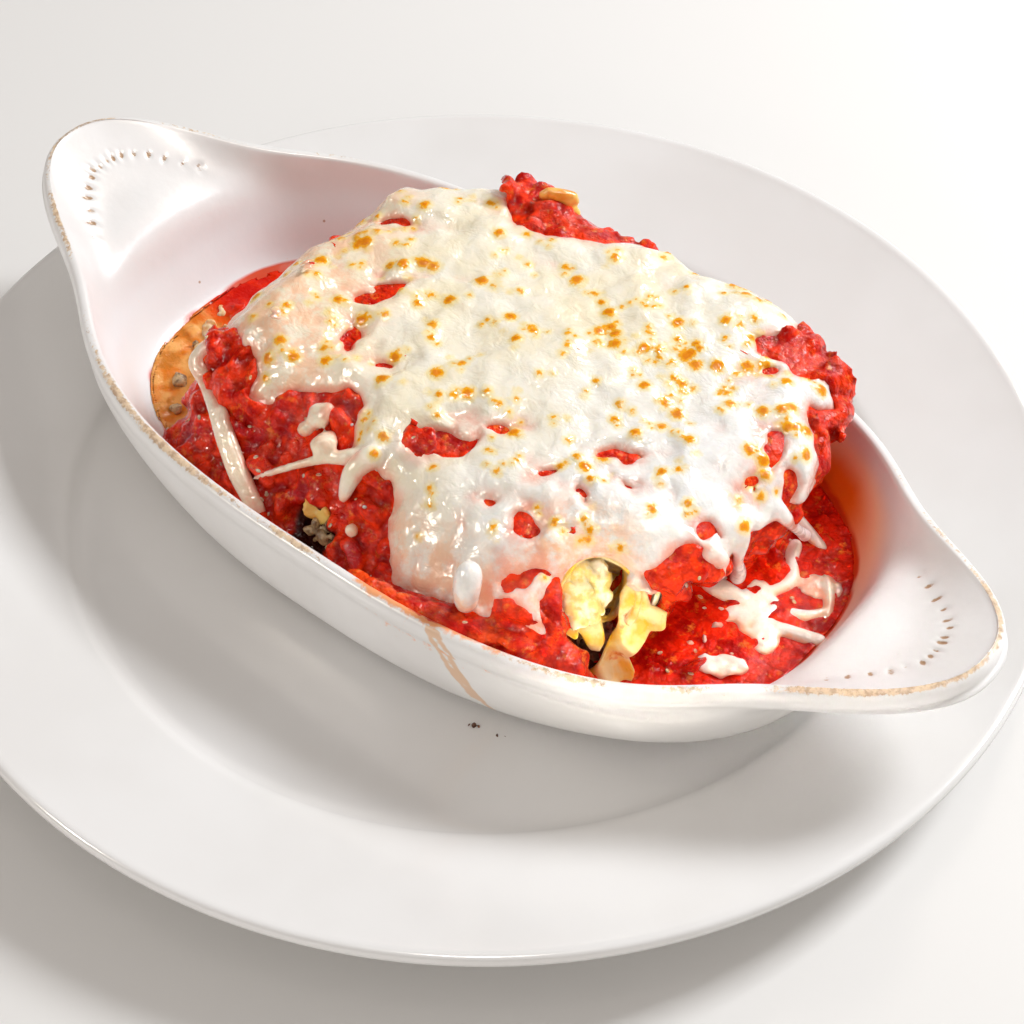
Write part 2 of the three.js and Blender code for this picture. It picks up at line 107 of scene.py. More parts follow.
def new_object(name, data):
    thing = bpy.data.objects.new(name, data)
    bpy.context.scene.collection.objects.link(thing)
    return thing


def make_mesh(name, points, faces, attributes=None, place=DISH_CENTRE):
    """A smooth-shaded object from points in millimetres, and arrays of triangles or quads."""
    mesh = bpy.data.meshes.new(name)
    co = (np.asarray(points, float) + place) * MM
    mesh.vertices.add(len(co))
    mesh.vertices.foreach_set("co", co.astype(np.float32).ravel())
    faces = [np.asarray(f, np.int32) for f in faces if len(f)]
    loops = np.concatenate([f.ravel() for f in faces])
    sizes = np.concatenate([np.full(len(f), f.shape[1], np.int32) for f in faces])
    starts = np.concatenate([[0], np.cumsum(sizes)[:-1]]).astype(np.int32)
    mesh.loops.add(len(loops))
    mesh.loops.foreach_set("vertex_index", loops)
    mesh.polygons.add(len(sizes))
    mesh.polygons.foreach_set("loop_start", starts)
    mesh.polygons.foreach_set("use_smooth", np.ones(len(sizes), bool))
    mesh.update(calc_edges=True)
    mesh.validate()
    for key, values in (attributes or {}).items():
        layer = mesh.attributes.new(key, "FLOAT", "POINT")
        layer.data.foreach_set("value", np.asarray(values, np.float32))
    return new_object(name, mesh)


def ring_faces(rings, count):
    """Quads between closed rings of points. Rings run anticlockwise round the way out."""
    i = np.arange(rings - 1)[:, None] * count
    j = np.arange(count)[None, :]
    k = (j + 1) % count
    return np.stack([i + j, i + count + j, i + count + k, i + k], axis=-1).reshape(-1, 4)


def cap_faces(ring_start, count, centre, up):
    """Triangles from a ring to the point at its centre."""
    j = np.arange(count)
    k = (j + 1) % count
    a, b = (j, k) if up else (k, j)
    return np.stack([np.full(count, centre), ring_start + a, ring_start + b], axis=-1)


def closed_faces(rings, count):
    """Faces of rings and of a cap at each end, whose centres are the two points after the rings."""
    last = (rings - 1) * count
    caps = [cap_faces(0, count, last + count, True), cap_faces(last, count, last + count + 1, False)]
    return [ring_faces(rings, count), *caps]


def finish_piece(piece, material, slot, *nodes):
    """Gives a piece its material, and says what it rides on and stands for."""
    piece.data.materials.clear()
    piece.data.materials.append(material)
    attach(piece, "root")
    if nodes:
        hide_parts(*nodes)


def thin_out(piece, most):
    """Merges the flattest faces of a piece until it has at most so many triangles."""
    count = sum(len(p.vertices) - 2 for p in piece.data.polygons)
    if count <= most:
        return
    fewer = piece.modifiers.new("fewer", "DECIMATE")
    fewer.ratio = most / count
    bpy.context.view_layer.update()
    ready = piece.evaluated_get(bpy.context.evaluated_depsgraph_get())
    mesh = bpy.data.meshes.new_from_object(ready)
    piece.modifiers.clear()
    piece.data = mesh
    mesh.polygons.foreach_set("use_smooth", np.ones(len(mesh.polygons), bool))


def through(points, steps):
    """A smooth line (Catmull-Rom) through points along axis 0, with so many steps for each gap."""
    p = np.asarray(points, float)
    steps = np.broadcast_to(steps, len(p) - 1)
    padded = np.concatenate([[2 * p[0] - p[1]], p, [2 * p[-1] - p[-2]]])
    parts = []
    for i, count in enumerate(steps):
        a, b, c, d = padded[i : i + 4]
        for s in np.arange(count) / count:
            square = (2 * a - 5 * b + 4 * c - d) * s**2
            cube = (3 * b - a - 3 * c + d) * s**3
            parts.append(0.5 * (2 * b + (c - a) * s + square + cube))
    parts.append(p[-1])
    return np.array(parts)


# ---------- Materials ----------


class Look:
    """A procedural material on one Principled shader. Textures are placed in millimetres."""

    def __init__(self, name, soft=None, coat=None, **sockets):
        """soft is the subsurface weight, scale and radius, and coat is the coat's weight and roughness."""
        self.material = bpy.data.materials.new(name)
        self.material.use_nodes = True
        self.tree = self.material.node_tree
        self.shader = self.tree.nodes["Principled BSDF"]
        if soft:
            sockets |= dict(zip(("Subsurface_Weight", "Subsurface_Scale", "Subsurface_Radius"), soft))
        if coat:
            sockets |= dict(zip(("Coat_Weight", "Coat_Roughness"), coat))
        for key, value in sockets.items():
            self.to(key.replace("_", " "), value)
        place = self.node("TexCoord", {}, "Object")
        self.place = self.node("VectorMath", {0: place, "Scale": 1 / MM}, operation="SCALE")

    def put(self, socket, value):
        if isinstance(value, bpy.types.NodeSocket):
            self.tree.links.new(value, socket)
        else:
            socket.default_value = value

    def to(self, socket, value):
        self.put(self.shader.inputs[socket], value)

    def node(self, kind, inputs, output=0, **settings):
        """A new node's output."""
        node = self.tree.nodes.new("ShaderNode" + kind)
        for key, value in settings.items():
            setattr(node, key, value)
        for key, value in inputs.items():
            self.put(node.inputs[key], value)
        return node.outputs[output]

    def noise(self, size, detail=2.0, roughness=0.5, distortion=0.0, output=0):
        inputs = {"Scale": 1 / size, "Detail": detail, "Roughness": roughness, "Distortion": distortion}
        return self.node("TexNoise", {"Vector": self.place} | inputs, output)

    def cells(self, size, shake=None):
        """Distance to the nearest cell centre. shake is the size and reach of noise that moves them."""
        place = self.place
        if shake:
            push, reach = self.noise(shake[0], output="Color"), (shake[1],) * 3
            place = self.node("VectorMath", {0: push, 1: reach, 2: place}, operation="MULTIPLY_ADD")
        return self.node("TexVoronoi", {"Vector": place, "Scale": 1 / size}, "Distance")

    def attribute(self, name):
        return self.node("Attribute", {}, "Fac", attribute_name=name)

    def math(self, operation, a, b):
        return self.node("Math", {0: a, 1: b}, operation=operation)

    def times(self, a, b):
        return self.math("MULTIPLY", a, b)

    def plus(self, a, b):
        return self.math("ADD", a, b)

    def range(self, value, low, high, to_low=0.0, to_high=1.0):
        keys = ("Value", "From Min", "From Max", "To Min", "To Max")
        values = (value, low, high, to_low, to_high)
        return self.node("MapRange", dict(zip(keys, values)), interpolation_type="SMOOTHSTEP")

    def mix(self, a, b, share):
        """Colour a, going over to colour b."""
        a, b = (c if isinstance(c, bpy.types.NodeSocket) else (*c, 1) for c in (a, b))
        return self.node("Mix", {0: share, 6: a, 7: b}, 2, data_type="RGBA")

    def paint(self, colour, *layers):
        """A colour with more colours laid over it one after another, each with its share."""
        for other, share in layers:
            colour = self.mix(colour, other, share)
        return colour

    def bump(self, *layers):
        """Bumps from pairs of a height and its size in millimetres. The coat has the first pair only."""
        normal = None
        for height, size in layers:
            under = {} if normal is None else {"Normal": normal}
            first = normal is None
            normal = self.node("Bump", {"Distance": size * MM, "Height": height} | under)
            if first:
                self.to("Coat Normal", normal)
        self.to("Normal", normal)

    def finish(self, colour, roughness, *bumps):
        """The finished material. roughness is the size of its noise, and its least and most, or None."""
        self.to("Base Color", colour)
        if roughness:
            size, least, most = roughness
            self.to("Roughness", self.range(self.noise(size, 3), 0.3, 0.7, least, most))
        self.bump(*bumps)
        return self.material


# ---------- Camera and light ----------

AZIMUTH = math.radians(37.59)
ELEVATION = math.radians(47.33)
ROLL = math.radians(1.63)
TARGET = Vector((4.73, 7.22, 0)) * MM
DISTANCE = 0.6165
LENS, SENSOR = 78.7, 36
LIGHT_DISTANCE = 1.3
WARM = (1.0, 0.90, 0.78)


def direction(turn, tilt):
    """A unit vector turned about z, counted from -y, and tilted up."""
    return Vector((math.sin(turn) * math.cos(tilt), -math.cos(turn) * math.cos(tilt), math.sin(tilt)))


def set_camera():
    back = direction(AZIMUTH, ELEVATION)
    right = Vector((math.cos(AZIMUTH), math.sin(AZIMUTH), 0))
    up = back.cross(right)
    rolled_right = right * math.cos(ROLL) + up * math.sin(ROLL)
    rolled_up = back.cross(rolled_right)
    data = bpy.data.cameras.new("camera")
    data.lens, data.sensor_width = LENS, SENSOR
    camera = new_object("camera", data)
    turn = Matrix((rolled_right, rolled_up, back)).transposed()
    camera.matrix_world = Matrix.Translation(TARGET + back * DISTANCE) @ turn.to_4x4()
    bpy.context.scene.camera = camera


def area_light(
    name, azimuth, elevation, distance, size, power, colour, rays="both", target=(0, 0, 0), spread=None
):
    """A square softbox that faces its target. Azimuth is counted from the camera's, turning to its right."""
    data = bpy.data.lights.new(name, "AREA")
    data.shape = "RECTANGLE"
    data.size = data.size_y = size
    data.energy = power
    data.color = colour
    if spread:
        data.spread = math.radians(spread)
    lamp = new_object(name, data)
    lamp.visible_diffuse = rays != "shine"
    lamp.visible_glossy = rays != "diffuse"
    way = direction(AZIMUTH + math.radians(azimuth), math.radians(elevation))
    turn = way.to_track_quat("Z", "Y").to_matrix().to_4x4()
    lamp.matrix_world = Matrix.Translation(way * distance + Vector(target)) @ turn


def set_light():
    world = bpy.data.worlds.new("studio")
    bpy.context.scene.world = world
    world.use_nodes = True
    tree = world.node_tree
    background = tree.nodes["Background"]
    background.inputs["Color"].default_value = (1.0, 0.93, 0.88, 1)
    # Reflections see a darker room than the one that lights the food softly from all sides.
    rays = tree.nodes.new("ShaderNodeLightPath")
    dim = tree.nodes.new("ShaderNodeMapRange")
    dim.inputs["To Min"].default_value = 0.5
    dim.inputs["To Max"].default_value = 0.05
    tree.links.new(rays.outputs["Is Glossy Ray"], dim.inputs["Value"])
    tree.links.new(dim.outputs[0], background.inputs["Strength"])
    area_light("key", 118, 42, LIGHT_DISTANCE, 0.34, 15, (0.95, 0.97, 1.0))
    area_light("fill", -45, 14, 1.5, 0.8, 5, (1.0, 0.98, 0.96), "diffuse")
    # Small bright points on wet food.
    area_light("glint", -70, 36, LIGHT_DISTANCE, 0.13, 9, WARM, "shine")
    area_light("back_glint", 150, 45, LIGHT_DISTANCE, 0.13, 8, WARM, "shine")
    area_light("top_glint", 0, 80, LIGHT_DISTANCE, 0.12, 8, (1.0, 0.92, 0.82), "shine")
    # Narrow warm beams into the open corner and on the loose sauce beside it.
    corner, pool = (0.064, -0.036, 0.038), (0.090, 0.002, 0.024)
    area_light("corner", 16, 30, 0.5, 0.03, 0.0048, (1.0, 0.93, 0.80), "diffuse", corner, 6)
    area_light("pool", 20, 45, 0.5, 0.03, 0.005, (1.0, 0.95, 0.86), "diffuse", pool, 9)
    view = bpy.context.scene.view_settings
    view.view_transform = "Standard"
    view.look = "None"


def floor():
    size, depth = 2.5, 0.0003
    corners = [(-size, -size, 0), (size, -size, 0), (size, size, 0), (-size, size, 0)]
    mesh = bpy.data.meshes.new("floor")
    mesh.from_pydata(corners, [], [(0, 1, 2, 3)])
    mesh.materials.append(Look("floor", Base_Color=(0.78, 0.77, 0.75, 1), Roughness=0.6).material)
    ground = new_object("floor", mesh)
    ground.location.z = -depth


# ---------- Plate ----------

WHITE_GLAZE = (0.80, 0.785, 0.765)


def rounded(points, rounds=3):
    """An open line with its corners cut again and again, so that they turn round."""
    p = np.asarray(points, float)
    for _ in range(rounds):
        near = 0.75 * p[:-1] + 0.25 * p[1:]
        far = 0.25 * p[:-1] + 0.75 * p[1:]
        p = np.concatenate([p[:1], np.stack([near, far], 1).reshape(-1, 2)[1:-1], p[-1:]])
    return p


def build_plate():
    # Radius and height, from the rim inwards over the top, and outwards under it.
    top = [(152.6, 19.3), (152.5, 21.4), (151.0, 22.1), (148, 20.9), (135, 17.0), (122, 13.6), (115, 11.8)]
    top += [(111.8, 10.9), (109.6, 9.4), (106.5, 8.35), (100, 8.05), (60, 8.0), (0.0, 8.0)]
    under = [(0.0, 3.2), (60, 3.1), (82.5, 3.0), (84.3, 2.6), (84.6, 0.5), (85.6, 0.0), (88.8, 0.0)]
    under += [(90, 0.5), (91.5, 2.6), (96, 3.6), (108, 6), (125, 10.8), (145, 16.4), (151.4, 18.2), top[0]]
    line = np.concatenate([rounded(top[::-1]), rounded(under[::-1])[1:]])
    rings = line[1:-1]
    count = 256
    turn = np.arange(count) * 2 * math.pi / count
    radius, height = rings[:, :1], np.repeat(rings[:, 1:], count, axis=1)
    points = np.stack([radius * np.cos(turn), radius * np.sin(turn), height], axis=-1).reshape(-1, 3)
    points = np.concatenate([points, [(0, 0, line[0, 1]), (0, 0, line[-1, 1])]])
    piece = make_mesh("plate_glazed", points, closed_faces(len(rings), count), place=np.zeros(3))
    look = Look("plate_glaze", coat=(0.2, 0.1), IOR=1.5)
    greyer = look.range(look.noise(60, 3), 0.35, 0.65)
    look.to("Base Color", look.mix(WHITE_GLAZE, (0.84, 0.83, 0.815), greyer))
    look.to("Roughness", look.range(look.noise(9, 4), 0.3, 0.75, 0.13, 0.22))
    look.bump((look.noise(14, 2), 0.12))
    finish_piece(piece, look.material, "plate_glaze", "plate")


# ---------- Gratin dish ----------

HALF_LENGTH, HALF_WIDTH, SQUARENESS = 114.0, 65.9, 2.7
EAR_REACH, EAR_SPREAD, EAR_POWER = 35.0, 0.221, 2.23
# Where drips run down outside the front wall: x and height.
DRIPS = [
    [(41, 42), (44.8, 37), (46.2, 31), (48.5, 26), (50.5, 20), (53, 13)],
    [(39, 42), (41, 38), (43.3, 31.5), (47, 24), (49.5, 18)],
]


def ear(turn):
    """From 1 at the middle of an ear down to 0 along the sides."""
    g = np.arctan2(np.abs(np.sin(turn)), np.abs(np.cos(turn)))
    return np.exp(-((g / EAR_SPREAD) ** EAR_POWER))


def bowl_radius(turn, a, b, n=SQUARENESS):
    return ((np.abs(np.cos(turn)) / a) ** n + (np.abs(np.sin(turn)) / b) ** n) ** (-1 / n)


def rim_height(x, _share=0):
    return 40.6 + 9.9 * np.abs(x / 135) ** 3


def dish_ring(turn, a, b, ear_share, height, n=SQUARENESS):
    r = bowl_radius(turn, a, b, n) + ear_share * EAR_REACH * ear(turn)
    x, y = r * np.cos(turn), r * np.sin(turn)
    z = height(x, ear(turn)) if callable(height) else np.full_like(x, height)
    return np.stack([x, y, z], axis=-1)


def outward(ring):
    """The way out of a closed ring in plan, square to its outline."""
    tangent = np.roll(ring, -1, 0) - np.roll(ring, 1, 0)
    normal = np.stack([tangent[:, 1], -tangent[:, 0]], axis=-1)
    return normal / np.linalg.norm(normal, axis=1)[:, None]


def offset_ring(ring, out, up):
    moved = ring.copy()
    moved[:, :2] += outward(ring) * out
    moved[:, 2] += up
    return moved


def outside(points):
    """Distance in plan outside the line of the rim's inner edge."""
    turn = np.arctan2(points[:, 1], points[:, 0])
    return np.hypot(points[:, 0], points[:, 1]) - bowl_radius(turn, HALF_LENGTH, HALF_WIDTH)


def near_line(points, path):
    """Distance from each point to the nearest point of a path."""
    nearest = np.full(len(points), 1e9)
    for q in path:
        nearest = np.minimum(nearest, np.linalg.norm(points - q, axis=1))
    return nearest


def dish_stains_and_painted_light(points, inner):
    """How much sauce film, spilt sauce and drip there is at each point of the dish, and where light is
    painted: orange and red on the inner right wall for the sauce's bounced light and the shade there, and a
    paler, cooler white on the inner left wall against that red bounce.
    """
    x, y, z = points.T
    wave = fractal(points, 12, 3, 51)
    left_level = LEFT_POOL_Z + 0.6 + 0.7 * smoothstep(y, 5, 22)
    level = np.where(x < 0, left_level, RIGHT_POOL_Z + 1.8) + 0.7 * wave
    film = inner * smoothstep(level - z, -0.7, 0.4)
    # Sauce that has run over the front rim.
    along = smoothstep(x, 10, 22) * smoothstep(-x, -66, -54)
    spill = along * smoothstep(-y, 54, 59) * smoothstep(z, 30, 36) * (0.75 + 0.7 * wave)
    spill = spill * smoothstep(-outside(points), -4.5, -0.5)
    drip = np.zeros(len(points))
    front = np.flatnonzero((y < -50) & ~inner.astype(bool) & (z > 9))
    for line in DRIPS:
        path = through([(a, 0, b) for a, b in line], 10)
        away = near_line(points[front] * (1, 0, 1), path)
        width = 1.0 + 0.5 * wave[front]
        drip[front] = np.maximum(drip[front], smoothstep(width - away, -0.6, 0.5))
    # Painted light: orange and red on the inner right wall near the food, for the light the sauce bounces
    # there and the shade there.
    from_food = np.clip(np.hypot((x - 84) * 0.8, y - 48) - 4, 0, 99)
    glow = inner * np.exp(-from_food / 27) * smoothstep(-z, -44, -26) * smoothstep(x, 58, 78)
    # Painted light: a paler, cooler white on the inner left wall, against the red light bounced onto it from
    # the sauce.
    pale = inner * smoothstep(-x, 30, 60) * smoothstep(-z, -40, -28)
    film, spill = np.clip(film, 0, 1), np.clip(spill, 0, 1)
    return {"film": film, "spill": spill, "drip": drip, "glow": glow, "pale": pale}


def press_dimples(points, inner, rim):
    """How deep each point lies in one of the dimples in an arc along each ear."""
    dimple = np.zeros(len(points))
    length = np.concatenate([[0], np.cumsum(np.linalg.norm(np.diff(rim, axis=0), axis=1))])
    whole = length[-1] + np.linalg.norm(rim[0] - rim[-1])
    out = outward(rim)
    rng = np.random.default_rng(7)
    for start in (0, whole / 2):
        for k in range(-8, 8):
            along = start + (k + 0.5) * 5.0 + rng.normal(0, 0.3)
            i = np.argmin(np.abs((length - along + whole / 2) % whole - whole / 2))
            inset = 10.2 - 0.09 * abs(k * 5.0) + rng.normal(0, 0.25)
            centre = rim[i, :2] - out[i] * inset
            away = points[inner, :2] - centre
            radial = away @ out[i]
            across = away @ np.array([-out[i][1], out[i][0]])
            d2 = (radial / rng.uniform(1.1, 1.6)) ** 2 + (across / rng.uniform(0.6, 0.85)) ** 2
            press = np.exp(-d2) * rng.uniform(0.6, 1.0)
            dimple[inner] = np.maximum(dimple[inner], press)
    return dimple


def rim_wear(points, span, near_ear):
    """Where the glaze is worn to the tan body: along the lip's inner top edge, span rings past the rim."""
    x, y, _ = points.T
    edge = np.exp(-(((span - 5.0) / 3.6) ** 2))
    wear = edge * (0.42 + 0.4 * near_ear + 0.75 * fractal(points, 18, 3, 31))
    front = smoothstep(-y, 20, 45) * smoothstep(x, -100, -80) * smoothstep(-x, -8, 8)
    right = smoothstep(-y, 5, 25) * smoothstep(x, 64, 84)
    return np.clip(wear + edge * (0.6 * front + 0.35 * right), 0, 1)


def build_dish():
    count = 640
    t = np.arange(count) * 2 * math.pi / count
    turn = t - 0.36 * np.sin(2 * t)
    a, b = HALF_LENGTH, HALF_WIDTH

    def mouth(x, share):
        return 35.8 + 6 * share

    rim = dish_ring(turn, a, b, 1, rim_height)
    # Each ring's change in half length and half width, its share of the ears, its height and its squareness.
    inside = [
        (-21, -19.5, 0, 13.3),
        (-13.5, -12.5, 0, 15.1),
        (-9, -8.3, 0, 19),
        (-4.5, -4.8, 0.02, 28),
        (-0.9, -2.2, 0.08, lambda x, s: mouth(x, s) - 1.2),
        (0.3, -0.9, 0.5, lambda x, s: lerp(mouth(x, s), rim_height(x), 0.52)),
    ]
    lip = [(1.3, 0.85), (2.8, 0.25), (3.5, -1.6), (3.3, -4.0), (2.6, -6.2)]
    under = [
        (2.8, 2.3, 0.12, lambda x, s: 32.6 + 3 * s),
        (1.3, 1.7, 0, 25, 2.56),
        (-1, 0.3, 0, 16, 2.3),
        (-15, -2.6, 0, 10.8, 2.5),
        (-21, -7, 0, 8.7, 2.5),
        (-25, -11.5, 0, 8.3, 2.5),
        (-42, -34, 0, 8.9),
    ]

    def dish_rings(rows):
        return [dish_ring(turn, a + longer, b + wider, *rest) for longer, wider, *rest in rows]

    before = [dish_ring(turn, 40, 18, 0, 13.2), *dish_rings(inside)]
    key_rings = [*before, rim, *(offset_ring(rim, out, up) for out, up in lip), *dish_rings(under)]
    steps = [3, 3, 3, 4, 6, 8, 28, 4, 4, 4, 4, 4, 6, 5, 5, 4, 4, 3, 3]
    rings = through(key_rings, steps)
    n = len(rings)
    points = rings.reshape(-1, 3).copy()
    span = np.repeat(np.arange(n), count) - sum(steps[: len(before)])
    dimple = press_dimples(points, np.flatnonzero(span < 0), rim)
    points[:, 2] -= 0.75 * dimple
    # Slight unevenness of a thrown and glazed wall.
    points += 0.12 * np.stack([noise(points, 30, 5), noise(points, 26, 6), noise(points, 34, 7)], -1)
    wear = rim_wear(points, span, np.tile(ear(turn), n))
    looks_of = {"wear": wear, "dimple": dimple} | dish_stains_and_painted_light(points, span <= 6)
    looks_of = {name: np.concatenate([values, [0, 0]]) for name, values in looks_of.items()}
    points = np.concatenate([points, [(0, 0, 13.2), (0, 0, 9.0)]])
    piece = make_mesh("gratin_dish_glazed", points, closed_faces(n, count), looks_of)
    finish_piece(piece, dish_look(), "dish_glaze", "gratin_dish")


def dish_look():
    look = Look("dish_glaze", coat=(0.15, 0.1), IOR=1.5)
    glaze = look.mix(WHITE_GLAZE, (0.86, 0.85, 0.835), look.range(look.noise(22, 4), 0.3, 0.7))
    wear, spill, glow = look.attribute("wear"), look.attribute("spill"), look.attribute("glow")
    worn = look.range(look.plus(wear, look.times(look.noise(1.4, 5, 0.75), 1.8)), 1.42, 1.75)
    tan = look.mix((0.74, 0.52, 0.28), (0.42, 0.21, 0.06), look.range(look.noise(2.0, 4, 0.65), 0.42, 0.62))
    hollow = look.range(look.times(look.attribute("dimple"), look.noise(2.1, 3)), 0.16, 0.32)
    wet = look.range(look.plus(look.attribute("drip"), look.times(look.noise(2, 3), 0.8)), 0.75, 1.2)
    spilt = look.plus(spill, look.times(look.math("SUBTRACT", look.noise(2.2, 4, 0.65), 0.5), 1.1))
    speck = look.range(look.cells(7.5), 0.035, 0.07, 1.0, 0.0)
    kept = look.range(look.noise(30, 2), 0.56, 0.64)
    colour = look.paint(
        glaze,
        # Painted light: a paler, cooler white on the inner left wall, against the sauce's red bounce light.
        ((0.84, 0.91, 0.92), look.times(look.attribute("pale"), 0.8)),
        (tan, look.times(worn, 0.8)),
        ((0.40, 0.21, 0.08), look.times(hollow, 0.9)),
        # Painted light: orange, then deep red, for the sauce's bounced light and the shade on the inner right
        # wall.
        ((1.0, 0.66, 0.42), look.range(glow, 0.0, 0.55, 0.0, 0.95)),
        ((0.93, 0.20, 0.01), look.range(glow, 0.35, 0.95)),
        ((0.74, 0.42, 0.20), look.times(wet, 0.75)),
        ((0.90, 0.30, 0.05), look.times(look.range(spilt, 0.2, 0.5), 0.85)),
        ((0.70, 0.03, 0.006), look.range(spilt, 0.75, 1.0)),
        ((0.72, 0.06, 0.005), look.range(look.attribute("film"), 0.15, 0.7)),
        ((0.40, 0.24, 0.12), look.times(look.times(speck, kept), 0.75)),
    )
    look.to("Base Color", colour)
    look.to("Roughness", look.plus(look.times(worn, 0.3), 0.32))
    look.bump((look.noise(5, 3), 0.10), (wear, -0.10))
    return look.material


# ---------- Soft shapes, worked out as distance fields on a block of samples ----------


def smooth_min(a, b, blend):
    t = np.clip(0.5 + 0.5 * (b - a) / blend, 0, 1)
    return b + (a - b) * t - blend * t * (1 - t)


def smooth_max(a, b, blend):
    return -smooth_min(-a, -b, blend)


def turned(yaw=0.0, pitch=0.0, roll=0.0):
    """A rotation matrix from turns in degrees: roll about x, then pitch about y, then yaw about z."""
    (cz, sz), (cy, sy), (cx, sx) = ((math.cos(r), math.sin(r)) for r in map(math.radians, (yaw, pitch, roll)))
    about_z = np.array([[cz, -sz, 0], [sz, cz, 0], [0, 0, 1]])
    about_y = np.array([[cy, 0, sy], [0, 1, 0], [-sy, 0, cy]])
    about_x = np.array([[1, 0, 0], [0, cx, -sx], [0, sx, cx]])
    return about_z @ about_y @ about_x


class Block:
    """Samples of a distance field over a box. The surface is where the field crosses zero."""

    def __init__(self, low, high, step):
        self.low, self.step = np.array(low, float), step
        counts = np.ceil((np.array(high, float) - self.low) / step).astype(int) + 1
        self.axes = [self.low[k] + step * np.arange(counts[k]) for k in range(3)]
        self.field = np.full(counts, FAR, np.float32)

    def set(self, field):
        self.field = np.asarray(field, np.float32)

    def like(self, field):
        """Another block with the same samples."""
        other = Block.__new__(Block)
        other.low, other.step, other.axes = self.low, self.step, self.axes
        other.set(field)
        return other

    def empty(self):
        self.set(np.full_like(self.field, FAR))

    def grid(self):
        x, y, z = self.axes
        return x[:, None, None], y[None, :, None], z[None, None, :]

    def places(self, at):
        """Points at samples that np.nonzero has found."""
        return np.stack([self.axes[k][at[k]] for k in range(3)], axis=1)

    def change_near(self, reach, function):
        """Adds function(points) to the field wherever the surface is nearer than reach."""
        at = np.nonzero(np.abs(self.field) < reach)
        self.field[at] += function(self.places(at)).astype(np.float32)

    def roughen(self, reach, height, size, seed):
        """Noise on the surface."""
        self.change_near(reach, lambda points: -height * noise(points, size, seed))

    def change_round(self, centre, reach, blend, take_away, distance):
        """Joins on, or takes away, what distance(offsets) says about the samples round a point."""
        centre = np.asarray(centre, float)
        reach = reach + blend + 2 * self.step
        parts, offsets = [], []
        for k in range(3):
            first = max(0, int((centre[k] - reach - self.low[k]) / self.step))
            last = min(len(self.axes[k]), int((centre[k] + reach - self.low[k]) / self.step) + 2)
            parts.append(slice(first, max(first, last)))
            offsets.append(self.axes[k][parts[-1]] - centre[k])
        offsets = np.stack(np.meshgrid(*offsets, indexing="ij"), axis=-1)
        if offsets.size == 0:
            return
        part = tuple(parts)
        old, new = self.field[part], distance(offsets)
        new = smooth_max(old, -new, blend) if take_away else smooth_min(old, new, blend)
        self.field[part] = new.astype(np.float32)

    def blob(self, centre, half, turn=None, blend=1.0, power=2.0, take_away=False, wobble=0.0, seed=0):
        """Joins on, or takes away, an ellipsoid with half sizes half. A higher power makes it boxier."""
        half = np.asarray(half, float)

        def distance(p):
            if wobble:
                flat = p.reshape(-1, 3)
                shift = np.stack([noise(flat + 50, half.min() * 1.3, seed + k) for k in range(3)], -1)
                p = p + (shift * half.min() * wobble).reshape(p.shape)
            if turn is not None:
                p = p @ turn
            q = np.abs(p) / half
            size = (q**power).sum(-1) ** (1 / power)
            slope = np.sqrt(((q / half) ** 2).sum(-1)) / np.maximum(np.sqrt((q**2).sum(-1)), 1e-6)
            return (size - 1) / np.maximum(slope, 1e-6)

        self.change_round(centre, float(half.max()) * (1 + wobble), blend, take_away, distance)

    def crumb(
        self, rng, centre, size, spread=(0.7, 1.2), most_turn=90, blend=0.4, power=2.4, wobble=0.5, stretch=1
    ):
        """Joins on a blob of about that half size, with a random shape and turn."""
        half = size * rng.uniform(*spread, 3) * stretch
        turn = turned(*rng.uniform(0, most_turn, 3))
        self.blob(centre, half, turn, blend, power, wobble=wobble, seed=int(rng.integers(99)))

    def run(self, points, radii, blend=1.0, take_away=False):
        """Joins on, or takes away, a round-ended bar that follows a line. Its radius goes through radii."""
        line = through(points, 6)
        widths = np.interp(np.linspace(0, 1, len(line)), np.linspace(0, 1, len(radii)), radii)
        for a, b, ra, rb in zip(line[:-1], line[1:], widths[:-1], widths[1:]):
            edge, middle = b - a, (a + b) / 2

            def distance(offsets):
                p = offsets + middle - a
                t = np.clip((p @ edge) / max(edge @ edge, 1e-9), 0, 1)
                return np.linalg.norm(p - t[..., None] * edge, axis=-1) - (ra + (rb - ra) * t)

            self.change_round(middle, np.linalg.norm(edge) / 2 + max(ra, rb), blend, take_away, distance)

    def at(self, points):
        """The field between its samples."""
        p = (np.asarray(points) - self.low) / self.step
        limit = np.array(self.field.shape) - 2
        cell = np.clip(np.floor(p).astype(int), 0, limit)
        total = 0
        for corner, share in corner_shares(np.clip(p - cell, 0, 1)):
            total = total + share * self.field[tuple((cell + corner).T)]
        return total

    def way_out(self, points):
        """The direction in which the field grows fastest."""
        steps = self.step * np.eye(3)
        slope = np.stack([self.at(points + h) - self.at(points - h) for h in steps], axis=1)
        return slope / np.maximum(np.linalg.norm(slope, axis=1), 1e-9)[:, None]

